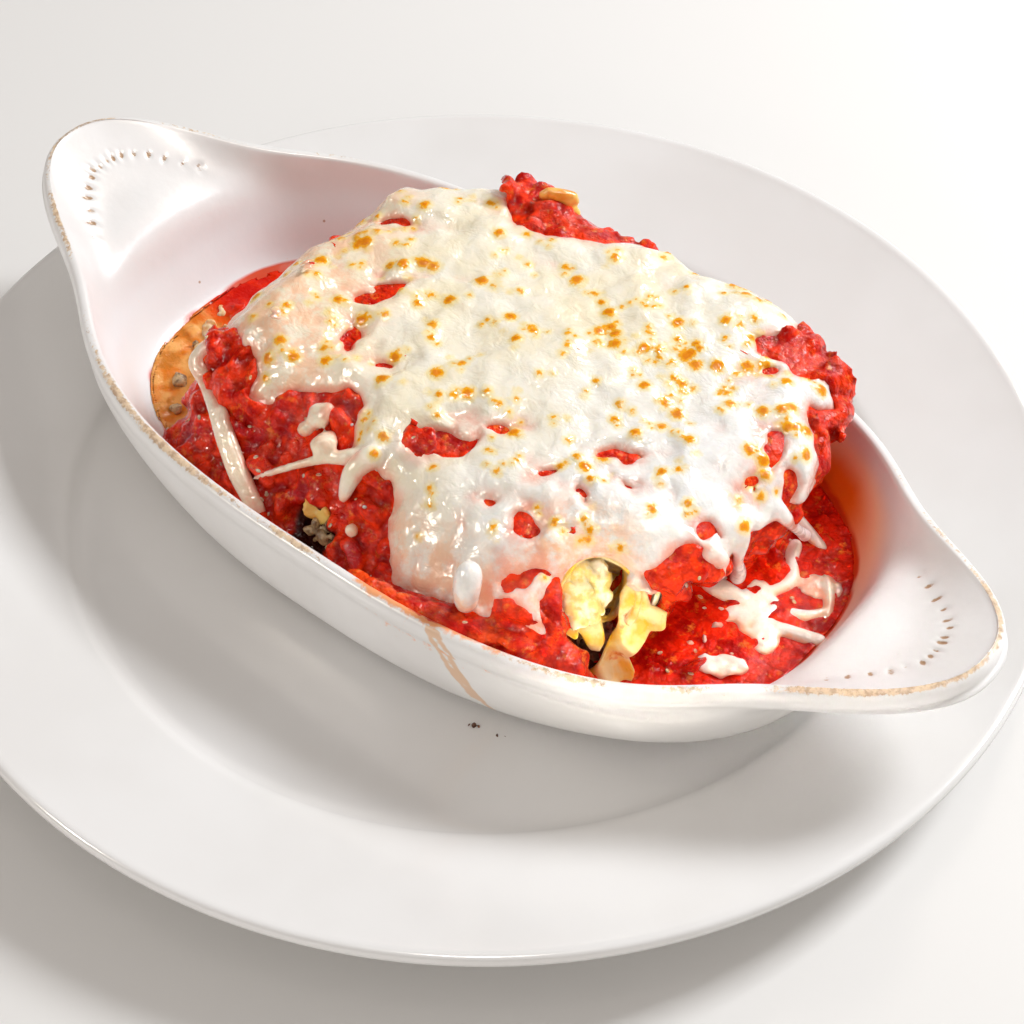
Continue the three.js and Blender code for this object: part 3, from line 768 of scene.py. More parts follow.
    def surface(self):
        """Points and quads of the surface: one point in each cell that it passes through."""
        f = self.field
        inside = f < 0
        corners = np.array(list(itertools.product((0, 1), repeat=3)))
        shape = np.array(f.shape) - 1
        count = np.zeros(shape, np.uint8)
        for corner in corners:
            count += inside[tuple(slice(c, c + n) for c, n in zip(corner, shape))]
        active = (count > 0) & (count < len(corners))
        cell = np.argwhere(active)
        index = np.full(active.shape, -1, np.int32)
        index[active] = np.arange(len(cell), dtype=np.int32)
        values = [f[tuple((cell + corner).T)] for corner in corners]
        place, crossings = np.zeros((len(cell), 3)), np.zeros(len(cell))
        for (ca, va), (cb, vb) in itertools.combinations(zip(corners, values), 2):
            if np.abs(ca - cb).sum() != 1:
                continue
            crosses = (va < 0) != (vb < 0)
            t = np.where(crosses, va / np.where(crosses, va - vb, 1), 0)
            place += crosses[:, None] * (ca + t[:, None] * (cb - ca))
            crossings += crosses
        points = self.low + self.step * (cell + place / crossings[:, None])
        quads = []
        for axis in range(3):
            others = (axis + 1) % 3, (axis + 2) % 3
            ahead, behind = [slice(None)] * 3, [slice(None)] * 3
            ahead[axis], behind[axis] = slice(1, None), slice(None, -1)
            edge = np.argwhere(inside[tuple(ahead)] != inside[tuple(behind)])
            for other in others:
                edge = edge[(edge[:, other] > 0) & (edge[:, other] < f.shape[other] - 1)]
            quad = []
            for back in ((1, 1), (0, 1), (0, 0), (1, 0)):
                c = edge.copy()
                c[:, others] -= back
                quad.append(index[tuple(c.T)])
            quad = np.stack(quad, axis=1)
            outward_up = inside[tuple(edge.T)]
            quads.append(np.where(outward_up[:, None], quad, quad[:, ::-1]))
        return points, np.concatenate(quads)

    def make(self, name, material, slot, *nodes, looks_of=None):
        """A piece from the surface."""
        points, quads = self.surface()
        attributes = looks_of(points) if looks_of else None
        finish_piece(make_mesh(name, points, [quads], attributes), material, slot, *nodes)


# ---------- The lasagna's form ----------

TOP_OUTLINE = [(-44, -21), (55, -22), (70, -6), (74, 22), (62, 47), (-20, 47), (-43, 28)]
TOP_Z, TOP_TILT = 60.6, 0.07
# Shoulder radius and slope in degrees of each side.
SIDES = {"right": (13, 112), "back": (13, 88), "left": (16, 84), "front": (34, 43)}
FOOD_LOW, FOOD_HIGH = (-72, -66, 12.6), (98, 70, 74)
STEP = 0.76
BASE_Z = 13.6

# The melted cheese's outline in plan, and the gaps in it: middle, half sizes and turn.
CHEESE_OUTLINE = [
    (-64, 36), (-48, 60), (-34, 66), (-31, 51), (-26, 44), (-20, 41), (-12, 42), (-6, 46), (3, 49), (8, 55),
    (13, 66), (58, 66), (61, 52), (55, 44), (60, 41), (70, 42), (77, 47), (82, 43), (77, 36), (80, 31),
    (87, 27), (92, 18), (90, 2), (88, -12), (82, -16), (77, -20), (75, -26), (71, -30), (66, -31), (61, -34),
    (59, -41), (57, -47), (62, -51), (58, -53), (52, -52), (44, -55), (34, -58), (24, -60), (17, -57),
    (13, -52), (9, -46), (4, -43), (-2, -45), (-7, -44), (-9, -38), (-11, -33), (-17, -31), (-24, -33),
    (-29, -38), (-37, -46), (-42, -46), (-42, -40), (-46, -36), (-53, -33), (-64, -33), (-68, 0),
]
CHEESE_GAPS = [
    (14, -29, 9, 4.2, 35), (21, -21, 4.5, 2.2, 30), (32, -38, 2.6, 2.0, 60), (46, -35.5, 3.4, 2.2, 40),
    (41, -22, 3.2, 1.5, 40), (49, -9, 4.6, 1.8, 35), (51, -24, 1.1, 0.8, 0), (58, -13, 3.0, 0.9, 20),
    (79, -11, 3.6, 2.6, 50), (50, -47, 5.5, 2.4, 35), (-33, -4, 2.4, 1.3, 30), (-32, 3, 4.2, 1.0, 50),
    (-29, -19, 1.6, 2.6, 20), (-15, -20, 2.8, 1.4, 30), (-47, 23, 4.2, 0.9, 10), (78, 18, 1.0, 2.4, 20),
    (85, 14, 1.4, 1.6, 0), (80, 7, 0.8, 2.4, 10), (64, 38, 3.2, 1.3, 40), (51, -9, 2, 1.2, 10),
]
# Big pieces of tomato: middle, half sizes and turn.
BIG_TOMATO = [
    ((58, 57, 59), (4, 4, 5), 10), ((64, 55, 57), (5, 4, 6), 50), ((69, 55, 55), (4.5, 5, 5), 80),
    ((63, 49, 60), (6, 5, 4), 0), ((71, 49, 57), (5, 6, 4), 30), ((74.5, 52, 55), (5.5, 6, 5), 20),
    ((78.5, 46, 53.5), (5, 5, 4.5), 70), ((79.5, 42, 51), (4.5, 4.5, 4), 40), ((73, 42, 57), (5, 5, 4), 10),
    ((77, 37, 54), (4, 5, 4), 60), ((73, 46, 51), (5, 6, 5.5), 0),
    ((-30.5, 55, 62), (3, 2.4, 4), 20), ((-26, 50, 62.5), (6, 5, 4), 60), ((-21, 53, 61.5), (5, 5, 4), 0),
    ((-16, 50, 63), (6, 4, 3.2), 40), ((-8, 51, 62), (6, 3, 2.2), 10), ((1, 54, 61), (5.5, 2, 1.6), 30),
    ((8, 57, 60.5), (5, 1.6, 1.3), 20), ((-31, 55.5, 63.5), (1.5, 1.2, 3.2), 50),
    ((-49, -39, 49.5), (5.5, 4, 4.5), 120), ((-45, -43, 47), (5, 4.5, 4), 30), ((-54, -34, 49), (5, 4, 4), 0),
    ((11, -31, 55.5), (6, 4, 2.5), 30), ((19, -27, 56.5), (5, 3, 2), 60),
]
# The hollow at the front right corner: the lines that it is scooped out along, and their radii.
CORNER_SCOOPS = [
    ([(62, -29, 38), (66, -34, 45), (71, -41, 55)], [9, 9.5, 10.5]),
    ([(66, -33, 27), (71, -40, 36), (76, -46, 44)], [8, 8, 9]),
    ([(76, -26, 22), (82, -34, 33), (88, -41, 42)], [6.5, 7, 7.5]),
    ([(78, -17, 21), (88, -33, 43)], [6.5, 7]),
    ([(76, -5, 21), (86, -22, 44)], [7, 7]),
    ([(77.5, 6, 21), (87, -8, 40)], [6.5, 5.5]),
]
FRONT_HOLLOW = [((-8, -59, 35), (9.5, 6.5, 6)), ((-8, -52, 32), (7, 6, 4))]
# The long strand at the left front, from the top of the loop round the tomato down to the rim.
STRAND = np.array(
    [
        (-52, -31, 57), (-57, -32.5, 54), (-60, -36.5, 52), (-61.5, -40, 49.5), (-60.5, -42, 48),
        (-56.3, -43.7, 46.8), (-47, -49.4, 46.5), (-40, -53.6, 43), (-32.3, -57.6, 39), (-25.5, -60.2, 35.5),
        (-22, -61.6, 32.8),
    ]
)
STRAND_SIDE = np.array((0.75, 0.6, 0.25))
STRAND_RADII = [1.5, 1.4, 1.3, 1.1, 1.0, 1.1, 1.2, 1.4, 1.5, 1.1, 0.7]
# Other strands and runs of cheese: points, radii and blend.
CHEESE_RUNS = [
    ([(-27, -56.5, 40), (-18.5, -51, 45.5), (-12, -47, 49), (-4, -43, 52)], [0.7, 0.8, 1.0, 2.2], 1.0),
    ([(0, -42, 54.5), (-2, -47.2, 50.8), (-2, -51.4, 44.8)], [2.6, 2.2, 0.9], 1.4),
]
CHEESE_LUMPS = [
    ((-19, -40, 54.5), (4.6, 3.2, 2.6)), ((-14, -44.5, 51.5), (3.4, 3.6, 2.8)),
    ((-21, -43.5, 51.5), (2.4, 2.2, 2.0)), ((4, -55, 40.5), (2.0, 1.7, 1.5)),
]
CHEESE_DRIPS = [
    ([(82, -14, 54), (84, -12, 51), (84, -9, 47)], [2.0, 1.5, 0.8], 1.4),
    ([(85, -3, 52), (85, -4, 44), (83, 1, 34), (81, 4, 27)], [1.5, 0.9, 1.3, 1.6], 1.4),
    ([(86, 9, 53), (88, 12, 47), (88, 20, 36), (86, 28, 26)], [1.6, 1.3, 1.0, 1.4], 1.4),
    ([(41.5, -54.5, 52), (42, -56.3, 48), (42.4, -57, 43)], [2.4, 2.3, 1.8], 2.0),
]
PINK_LUMP = (73.5, -28, 47.5)
# The layers under the sauce, from the bottom up, as shares of the height, and how rough they are.
LAYERS = [
    ("pasta_sheet_bottom", 0, 0.075, "pasta", 0.15),
    ("meat_layer", 0.075, 0.4, "meat", 0.9),
    ("pasta_sheet_middle", 0.4, 0.475, "pasta", 0.15),
    ("ricotta_layer", 0.475, 0.925, "ricotta", 0.5),
    ("pasta_sheet_top", 0.925, 1.02, "pasta", 0.15),
]


def polygon_distance(x, y, outline):
    """Distance in plan to a closed outline, negative inside, and the nearest point on it."""
    corners = np.array(outline, float)
    x, y = np.broadcast_arrays(x, y)
    nearest = np.full(x.shape, 1e9)
    hit_x, hit_y = np.zeros(x.shape), np.zeros(x.shape)
    inside = np.zeros(x.shape, bool)
    for a, b in zip(corners, np.roll(corners, -1, 0)):
        edge = b - a
        t = np.clip(((x - a[0]) * edge[0] + (y - a[1]) * edge[1]) / (edge @ edge), 0, 1)
        px, py = a[0] + t * edge[0], a[1] + t * edge[1]
        d = np.hypot(x - px, y - py)
        closer = d < nearest
        nearest = np.where(closer, d, nearest)
        hit_x, hit_y = np.where(closer, px, hit_x), np.where(closer, py, hit_y)
        crosses = (a[1] > y) != (b[1] > y)
        at = a[0] + (y - a[1]) / (edge[1] or 1e-9) * edge[0]
        inside ^= crosses & (x < at)
    return np.where(inside, -nearest, nearest), hit_x, hit_y


def top_height(x, y):
    swell = 0.9 * np.sin(0.061 * x + 1.1) * np.cos(0.07 * y) + 0.5 * np.sin(0.13 * x - 0.09 * y)
    return TOP_Z + TOP_TILT * y + swell


def mound_distance(x, y, z):
    """Distance from the lasagna's skin under the cheese, negative inside."""
    out, hit_x, hit_y = polygon_distance(x, y, TOP_OUTLINE)
    way = np.arctan2((y - hit_y) * np.sign(out), (x - hit_x) * np.sign(out))
    along, across = np.cos(way) ** 2, np.sin(way) ** 2

    def side(k):
        a = np.where(np.cos(way) > 0, SIDES["right"][k], SIDES["left"][k])
        b = np.where(np.sin(way) > 0, SIDES["back"][k], SIDES["front"][k])
        return a * along + b * across

    radius, slope = side(0), np.radians(side(1))
    above = z - top_height(x, y)
    bend = np.arctan2(out, above + radius)
    round_part = np.hypot(out, above + radius) - radius
    straight = out * np.sin(slope) + (above + radius) * np.cos(slope) - radius
    return np.where((bend >= 0) & (bend <= slope), round_part, np.maximum(above, straight))


def bowl_inside(x, y, z):
    """Distance in plan from the dish's inner wall, negative inside the bowl."""
    levels = [13.2, 15.1, 19, 28, 36, 60]
    less_a = np.interp(z, levels, [21, 13.5, 9, 4.5, 0.9, 0.9])
    less_b = np.interp(z, levels, [19.5, 12.5, 8.3, 4.8, 2.2, 2.2])
    r = bowl_radius(np.arctan2(y, x), HALF_LENGTH - less_a, HALF_WIDTH - less_b)
    return np.hypot(x, y) - r


def cut_to_bowl(block, base=13.2):
    x, y, z = block.grid()
    block.set(np.maximum(block.field, bowl_inside(x, y, z) - 0.4))
    block.set(np.maximum(block.field, base - z))


CURL_MOUTH, CURL_HEADING, CURL_RISE = np.array([65.0, -34.0, 41.5]), -52, 20


def curl_frame():
    """Columns: to the right seen from in front of the curl's mouth, up, and out of the mouth."""
    heading, rise = math.radians(CURL_HEADING), math.radians(CURL_RISE)
    out = np.array([math.cos(heading) * math.cos(rise), math.sin(heading) * math.cos(rise), math.sin(rise)])
    side = np.cross([0, 0, 1], out)
    side /= np.linalg.norm(side)
    return np.stack([side, np.cross(out, side), out], axis=1)


def corner_point(right, up, out):
    return CURL_MOUTH + curl_frame() @ np.array([right, up, out])


# ---------- The coat of sauce and the cheese ----------


def mound_block():
    block = Block(FOOD_LOW, FOOD_HIGH, STEP)
    block.set(mound_distance(*block.grid()))
    corner, left = np.array([68, -37, 48]), np.array([-58, 2, 52])

    def change(p):
        swell = 6.5 * np.exp(-(((p - corner) / (13, 11, 13)) ** 2).sum(-1))
        sag = 3.0 * np.exp(-(((p - left) / (12, 40, 20)) ** 2).sum(-1))
        return swell - sag - 1.5 * fractal(p, 26, 2, 3) - 0.6 * noise(p, 10, 9)

    block.change_near(12, change)
    return block


def scoop_hollows(block, less=0.0):
    for line, radii in CORNER_SCOOPS:
        block.run(line, [r - less for r in radii], 1.5, take_away=True)
    for centre, half in FRONT_HOLLOW:
        block.blob(centre, np.array(half) - less, blend=1.5, take_away=True, wobble=0.3, seed=3)


def hollow_depth(points):
    """From 0 on the open skin to 1 deep in the hollows, where shade is painted into the sauce as near black.
    """
    hollows = [((-8, -55, 34), 9), ((-8, -60, 31), 7)]
    hollows += [(corner_point(-3, -13, -5), 10), (corner_point(-1, -18, -4), 8)]
    depth = np.zeros(len(points))
    for centre, size in hollows:
        away = np.linalg.norm(points - np.array(centre), axis=1)
        depth = np.maximum(depth, smoothstep(-away, -size, -size * 0.55))
    return depth


def spread_points(points, spacing, rng):
    """A random choice of points, no two in the same cube of that spacing."""
    taken, kept = set(), []
    for i in rng.permutation(len(points)):
        key = tuple(np.floor(points[i] / spacing).astype(int))
        if key not in taken:
            taken.add(key)
            kept.append(i)
    return np.array(kept)


def build_sauce(mound):
    rng = np.random.default_rng(11)
    sauce = mound.like(mound.field.copy())
    for centre, half, turn in BIG_TOMATO:
        sauce.blob(centre, half, turned(turn, 20), blend=1.0, power=3.4, wobble=0.55, seed=turn)
    # The sauce reaches up to the rim at the front.
    to_rim = [(20, -60, 30), (30, -59.5, 32), (45, -57, 33), (58, -51, 32), (66, -46, 29)]
    sauce.run(to_rim, [3, 4.5, 5, 5, 4], 4.0)
    scoop_hollows(sauce)
    beside_curl = [(13.5, 0.5, 0), (16.5, 5, 0), (20.5, 10.5, -1), (24.5, 17, -2)]
    sauce.run([corner_point(*p) for p in beside_curl], [1.5, 2.1, 2.4, 2.4], 1.2)
    # Chunks of tomato all over the skin.
    points, _ = sauce.surface()
    for spacing, size, share in ((8.5, 4.4, 0.62), (5.5, 2.4, 0.5), (3.6, 1.3, 0.15)):
        chosen = points[spread_points(points, spacing, rng)]
        in_cluster = (chosen[:, 2] > 44) & (chosen[:, 1] > 34)
        chosen = chosen[rng.random(len(chosen)) < np.where(in_cluster, 0.4 * share, share)]
        for c in chosen:
            half = size * rng.uniform(0.6, 1.2, 3) * (1.2, 1, 0.6)
            centre = c - sauce.way_out(c[None])[0] * (rng.uniform(0.35, 0.9) * half.min())
            turn, power = turned(*rng.uniform(0, 180, 3)), rng.uniform(2.2, 4.0)
            sauce.blob(centre, half, turn, 1.5, power, wobble=0.4, seed=int(rng.integers(1000)))
    # Room for the pasta that hangs in front of the corner, and for the curl itself.
    for line, radii in (
        ([(8, 7, 8), (7, -8, 8), (6, -20, 8)], [5.5, 6.5, 6.5]),
        ([(14, 0, 7.5), (13.5, -8, 7)], [6, 6.8]),
        ([(-0.8, 1.5, 7), (-0.8, 1, -13)], [8.2, 7.6]),
    ):
        sauce.run([corner_point(*p) for p in line], radii, 1.0, take_away=True)
    # The loose sauce in front of the mound lies open, and so does the mound's side wall at the left front.
    for line, radii in (
        ([(72, -38, 29), (80, -27, 29), (85, -12, 28.5), (87, 2, 28), (87, 14, 28)], [6.5, 7, 7, 6.5, 5.5]),
        ([(-78, -37, 17), (-64, -49, 33)], [5, 4]),
    ):
        sauce.run(line, radii, 1.0, take_away=True)
    sauce.change_near(3, lambda p: -0.20 * noise(p, 3.0, 21) - 0.08 * noise(p, 1.6, 22))
    # Under the cheese it lies smooth.
    at = np.nonzero((np.abs(sauce.field - mound.field) > 0.05) & (np.abs(mound.field) < 5))
    p = sauce.places(at)
    for mask, most in ((cheese_mask(p, []), 0.5), (cheese_mask(p), 0.3)):
        kept_down = np.maximum(sauce.field[at], mound.field[at] - most)
        sauce.field[at] = lerp(sauce.field[at], kept_down, smoothstep(-mask, 0.3, 2.5)).astype(np.float32)
    return sauce


def cheese_mask(p, gaps=CHEESE_GAPS):
    """Distance outside the cheese's outline, measured in plan, negative where there is cheese."""
    x, y, z = p.T
    plan, _, _ = polygon_distance(x, y, CHEESE_OUTLINE)
    pull_x, pull_y = (2.0 * noise(p, 5.5, seed) + 0.8 * noise(p, 2.6, seed + 2) for seed in (45, 46))
    for cx, cy, hx, hy, turn in gaps:
        c, s = math.cos(math.radians(turn)), math.sin(math.radians(turn))
        near_x, near_y = x - cx + pull_x, y - cy + pull_y
        u, v = near_x * c + near_y * s, near_y * c - near_x * s
        gap = (np.hypot(u / hx, v / hy) - 1) * min(hx, hy)
        plan = smooth_max(plan, -gap, 1.0)
    drop = top_height(x, y) - z
    # Each side has its own depth to which the cheese runs down.
    out, hit_x, hit_y = polygon_distance(x, y, TOP_OUTLINE)
    way = np.arctan2(y - hit_y, x - hit_x)
    front = np.clip(-np.sin(way), 0, 1)
    limit = 13 + 3.5 * noise(np.stack([x, y, 0 * z], -1), 11, 5) + 60 * smoothstep(front, 0.25, 0.6)
    return np.maximum(plan, np.where(out > 0, (drop - limit) * 0.8, plan))


def build_cheese(mound, sauce):
    base = mound.field + 0.4 * (sauce.field - mound.field)
    cheese = mound.like(np.full_like(mound.field, FAR))
    at = np.nonzero(np.abs(mound.field) < 7)
    p = mound.places(at)
    mask = cheese_mask(p) + 1.3 * noise(p, 8, 41) + 0.7 * noise(p, 3.6, 42)
    thick = 2.7 + 0.9 * noise(p, 15, 43) + 0.8 * noise(p, 6.5, 44)
    slope = smoothstep(top_height(p[:, 0], p[:, 1]) - p[:, 2], 1.5, 6)
    thick = thick + slope * 0.7 * noise(p * (1, 0.3, 0.3), 2.8, 57) - 0.25 * slope
    thick = thick * lerp(1, 0.5, smoothstep(mask, -6, 0))
    top = smooth_max(base[at] - thick, mask, 2.0)
    cheese.field[at] = np.maximum(top, -(base[at] + 1.3)).astype(np.float32)
    scoop_hollows(cheese, 0.2)
    cheese.roughen(2.5, 0.34, 3.4, 55)
    for side in (-0.9, 0.9):
        cheese.run(STRAND + STRAND_SIDE * side, STRAND_RADII, 1.4)
    for run in CHEESE_RUNS:
        cheese.run(*run)
    for c, half in CHEESE_LUMPS:
        cheese.blob(c, half, turned(30, -40), blend=1.2, wobble=0.3, seed=5)
    for run in CHEESE_DRIPS:
        cheese.run(*run)
    # Cheese hugs the curl's upper edge.
    lip = [(-11, 3, 1.2), (-9, 9.4, 0.2), (-1, 13.3, -1.8), (7.2, 10.8, -0.6), (11, 4.5, 1.0)]
    cheese.run([corner_point(*p) for p in lip], [0.9, 1.5, 1.7, 1.5, 1.1], 2.0)
    cheese.blob(PINK_LUMP, (4.2, 2.0, 1.7), turned(55, 25), blend=1.4, power=3, wobble=0.5, seed=8)
    cheese.blob((48, -54, 41), (4, 1.5, 1.5), turned(30), blend=0.8, wobble=0.4, seed=9)
    return cheese


def toast_spots(points, way_out):
    """How far inside a toasted spot each point is, in millimetres, negative outside them all."""
    rng = np.random.default_rng(23)
    _, y, z = points.T
    likely = smoothstep(way_out[:, 2], 0.4, 0.8) * smoothstep(z, 42, 55)
    likely = likely * (0.6 + 0.6 * smoothstep(y, -25, 15))
    likely = likely * (0.6 + smoothstep(noise(points, 16, 77), -0.4, 0.5))
    chosen = rng.choice(len(points), 250, replace=False, p=likely / likely.sum())
    spots = [(np.array([-11, 21, 62.5]), 2.4), (np.array([-9, 17, 62.5]), 2.6)]
    for i in chosen:
        radius = 0.45 + 1.35 * rng.random() ** 1.7
        spots.append((points[i], radius))
        for _ in range(rng.integers(0, 4)):
            beside = points[i] + rng.normal(0, 1.0 + radius, 3) * (1, 1, 0.2)
            spots.append((beside, rng.uniform(0.3, 0.75)))
    inside = np.full(len(points), -3.0)
    for c, r in spots:
        near = np.flatnonzero(np.abs(points - c).max(1) < r + 3)
        inside[near] = np.maximum(inside[near], r - np.linalg.norm(points[near] - c, axis=1))
    return inside


def sauce_looks(sauce, points):
    # Painted shade: the sauce is darkened where its surface folds inwards.
    inwards = sauce.at(points + 1.8 * sauce.way_out(points))
    return {"deep": hollow_depth(points), "crevice": smoothstep(-inwards, -1.7, -0.5)}


def make_sauce(sauce, looks):
    """The sauce and its tomato chunks as one piece."""
    points, quads = sauce.surface()
    piece = make_mesh("tomato_sauce_coat", points, [quads], sauce_looks(sauce, points))
    thin_out(piece, MOST_TRIANGLES)
    chunks = "tomato_chunk_right", "tomato_chunk_back", "tomato_chunk_left"
    finish_piece(piece, looks["sauce"], "tomato_sauce", "tomato_sauce", *chunks)


def cheese_looks(sauce, points):
    """How thick the cheese is, and how much the sauce below stains it, with warm shade painted in as well on
    the lower slopes and the left front side.
    """
    x, y, z = points.T
    drop = top_height(x, y) - z
    # Sauce stain where the cheese thins down the slopes, mixed with painted warm shade there and on the left
    # front side.
    sauce_stain_and_painted_shade = 0.9 * smoothstep(drop + 1.5 * noise(points, 9, 58), 2, 13) * smoothstep(-y, -10, 25)
    sauce_stain_and_painted_shade = np.maximum(sauce_stain_and_painted_shade, 0.95 * smoothstep(-x - 0.5 * y, 18, 50))
    strand = near_line(points, through(STRAND[3:], 8))
    pink_lump = np.linalg.norm(points - PINK_LUMP, axis=1)
    thick = sauce.at(points)
    thick = np.where((strand < 5) | (pink_lump < 5), np.minimum(thick, 1.45), thick)
    near_curl = np.linalg.norm(points - (60, -37, 51), axis=1)
    sauce_stain_and_painted_shade = np.maximum(sauce_stain_and_painted_shade, smoothstep(-near_curl, -24, -8))
    sauce_stain_and_painted_shade = np.where(strand < 4, 0.1, sauce_stain_and_painted_shade)
    return {"thick": thick, "sauce_stain_and_painted_shade": sauce_stain_and_painted_shade}


def make_cheese(cheese, sauce, looks):
    points, quads = cheese.surface()
    out = cheese.way_out(points)
    toast = toast_spots(points, out)
    looks_of = cheese_looks(sauce, points) | {"toast": toast}
    points = points + out * (0.3 * smoothstep(toast, -0.5, 0.5))[:, None]
    looks_of["whiter"] = smoothstep(points[:, 0] - 0.3 * points[:, 1], 12, 68)
    piece = make_mesh("mozzarella_melted", points, [quads], looks_of)
    finish_piece(piece, looks["cheese"], "melted_cheese", "mozzarella")


def build_layers(mound, looks):
    """The stack of layers that the sauce covers, each a piece. The stack's field is returned."""
    x, y, z = mound.grid()
    on_top = smoothstep(z - top_height(x, y), -14, -3)
    stack = mound.like(mound.field + lerp(3.6 - 2.2 * smoothstep(x, 58, 74), 7, on_top))
    scoop_hollows(stack, -2.2)
    cut_to_bowl(stack)
    every = 3
    coarse = Block(FOOD_LOW, FOOD_HIGH, STEP * every)
    counts = [min(len(a), (n + every - 1) // every) for a, n in zip(coarse.axes, stack.field.shape)]
    coarse.axes = [a[:n] for a, n in zip(coarse.axes, counts)]
    thin = stack.field[::every, ::every, ::every][: counts[0], : counts[1], : counts[2]]
    x, y, z = coarse.grid()
    height = top_height(x, y) - 7
    wave = 0.7 * np.sin(0.09 * x + 0.05 * y)
    for name, low, high, look, rough in LAYERS:
        floor_z = BASE_Z + (height - BASE_Z) * low + wave * low + (0.2 if low else 0)
        roof_z = BASE_Z + (height - BASE_Z) * high + wave * high - 0.1
        coarse.set(smooth_max(thin, np.maximum(floor_z - z, z - roof_z), 1.0))
        coarse.roughen(3, rough, 4.5, len(name))
        coarse.make(name + "_inside", looks[look], look, name)
    return stack


def build_pools(looks):
    """The loose sauce at both ends of the dish."""
    # Where each pool starts and ends, its level, seed and number of lumps.
    for side, x0, x1, level, seed, lumps in (
        ("left", -106, -50, LEFT_POOL_Z, 1, 70),
        ("right", 62, 112, RIGHT_POOL_Z, 2, 110),
    ):
        rng = np.random.default_rng(seed)
        pool = Block((x0, -58, 12.4), (x1, 60, level + 6), 0.55)
        x, y, z = pool.grid()
        meniscus = 0.9 * np.exp(-np.clip(-bowl_inside(x, y, z), 0, 9) / 1.3)
        pool.set(z - level - meniscus)
        pool.change_near(4, lambda p: -0.7 * noise(p, 14, 3 + seed) - 0.35 * noise(p, 5, 4 + seed))
        for _ in range(lumps):
            c = (rng.uniform(x0, x1), rng.uniform(-50, 52), level - rng.uniform(0.3, 1.2))
            half = rng.uniform(1.3, 3.8) * rng.uniform(0.6, 1.2, 3)
            half[2] = rng.uniform(0.7, 1.7)
            turn = turned(*rng.uniform(-25, 25, 3)) @ turned(rng.uniform(0, 180))
            pool.blob(c, half, turn, 1.2, rng.uniform(2, 3), wobble=0.45, seed=int(rng.integers(1000)))
        if side == "right":
            pool.blob((82, 18, level + 0.6), (8, 3.5, 2.6), turned(-20), 1.2, 3, wobble=0.5, seed=5)
        pool.roughen(2, 0.14, 2.6, 8)
        cut_to_bowl(pool, 13.0)
        name = "sauce_pool_" + side
        pool.make(
            name + "_loose",
            looks["pool_" + side],
            "tomato_sauce",
            name,
            looks_of=lambda points: {"cream": 0.34 * smoothstep(-points[:, 1], -14, 14)},
        )


# ---------- The corner: a curl of pasta with ricotta in it, and a ruffled ribbon ----------

# Outlines in the plane of the curl's mouth: to the right of its middle, and up.
FLAP = [
    (-9, 2), (-9.5, -3), (-7, -7), (-4.5, -9.5), (-1.5, -14), (1, -14),
    (2, -11), (1, -5), (-2, -4), (-4, -3), (-6, 1),
]
RIBBON = [
    (8, 9), (5, 2.5), (4.7, -5), (3, -10), (1.2, -15), (-1.5, -20), (0, -25), (9, -25),
    (9.5, -19), (8, -14.5), (12, -11), (13.2, -8), (16.5, -6.5), (17, -2.5), (12.5, 0), (11, 6),
]


def pasta_piece(u, v, w, outline, bend, half_thickness=0.85):
    """A piece of pasta sheet with that outline in the mouth's plane, bent out of it by bend."""
    flat, _, _ = polygon_distance(u, v, outline)
    return smooth_max((np.abs(w - bend) - half_thickness) * 0.8, flat, 0.9)


def curl_tube(u, v, w):
    """A tube of pasta, open below, with a wavy mouth that leans back."""
    across, up = u + 0.8, (v - 1.0) * 0.86
    turn, radius = np.arctan2(up, across), np.hypot(across, up)
    flare = 1.3 * smoothstep(w, -6, 3)
    middle = 8.3 + flare + 0.45 * np.sin(4 * turn + 0.12 * w) + 0.4 * np.sin(0.4 * w + 2 * turn)
    wall = np.abs(radius - middle) - 0.85
    from_bottom = np.abs((turn + 1.42 * np.pi) % (2 * np.pi) - np.pi)
    gap = smooth_min((0.72 - from_bottom) * radius, w + 4.5, 0.8)
    mouth = w + 0.38 * np.maximum(v, -2) - 0.9 * np.sin(3 * turn + 1) - 4.6
    return smooth_max(smooth_max(smooth_max(wall, gap, 0.8), mouth, 0.9), -25 - w, 0.8)


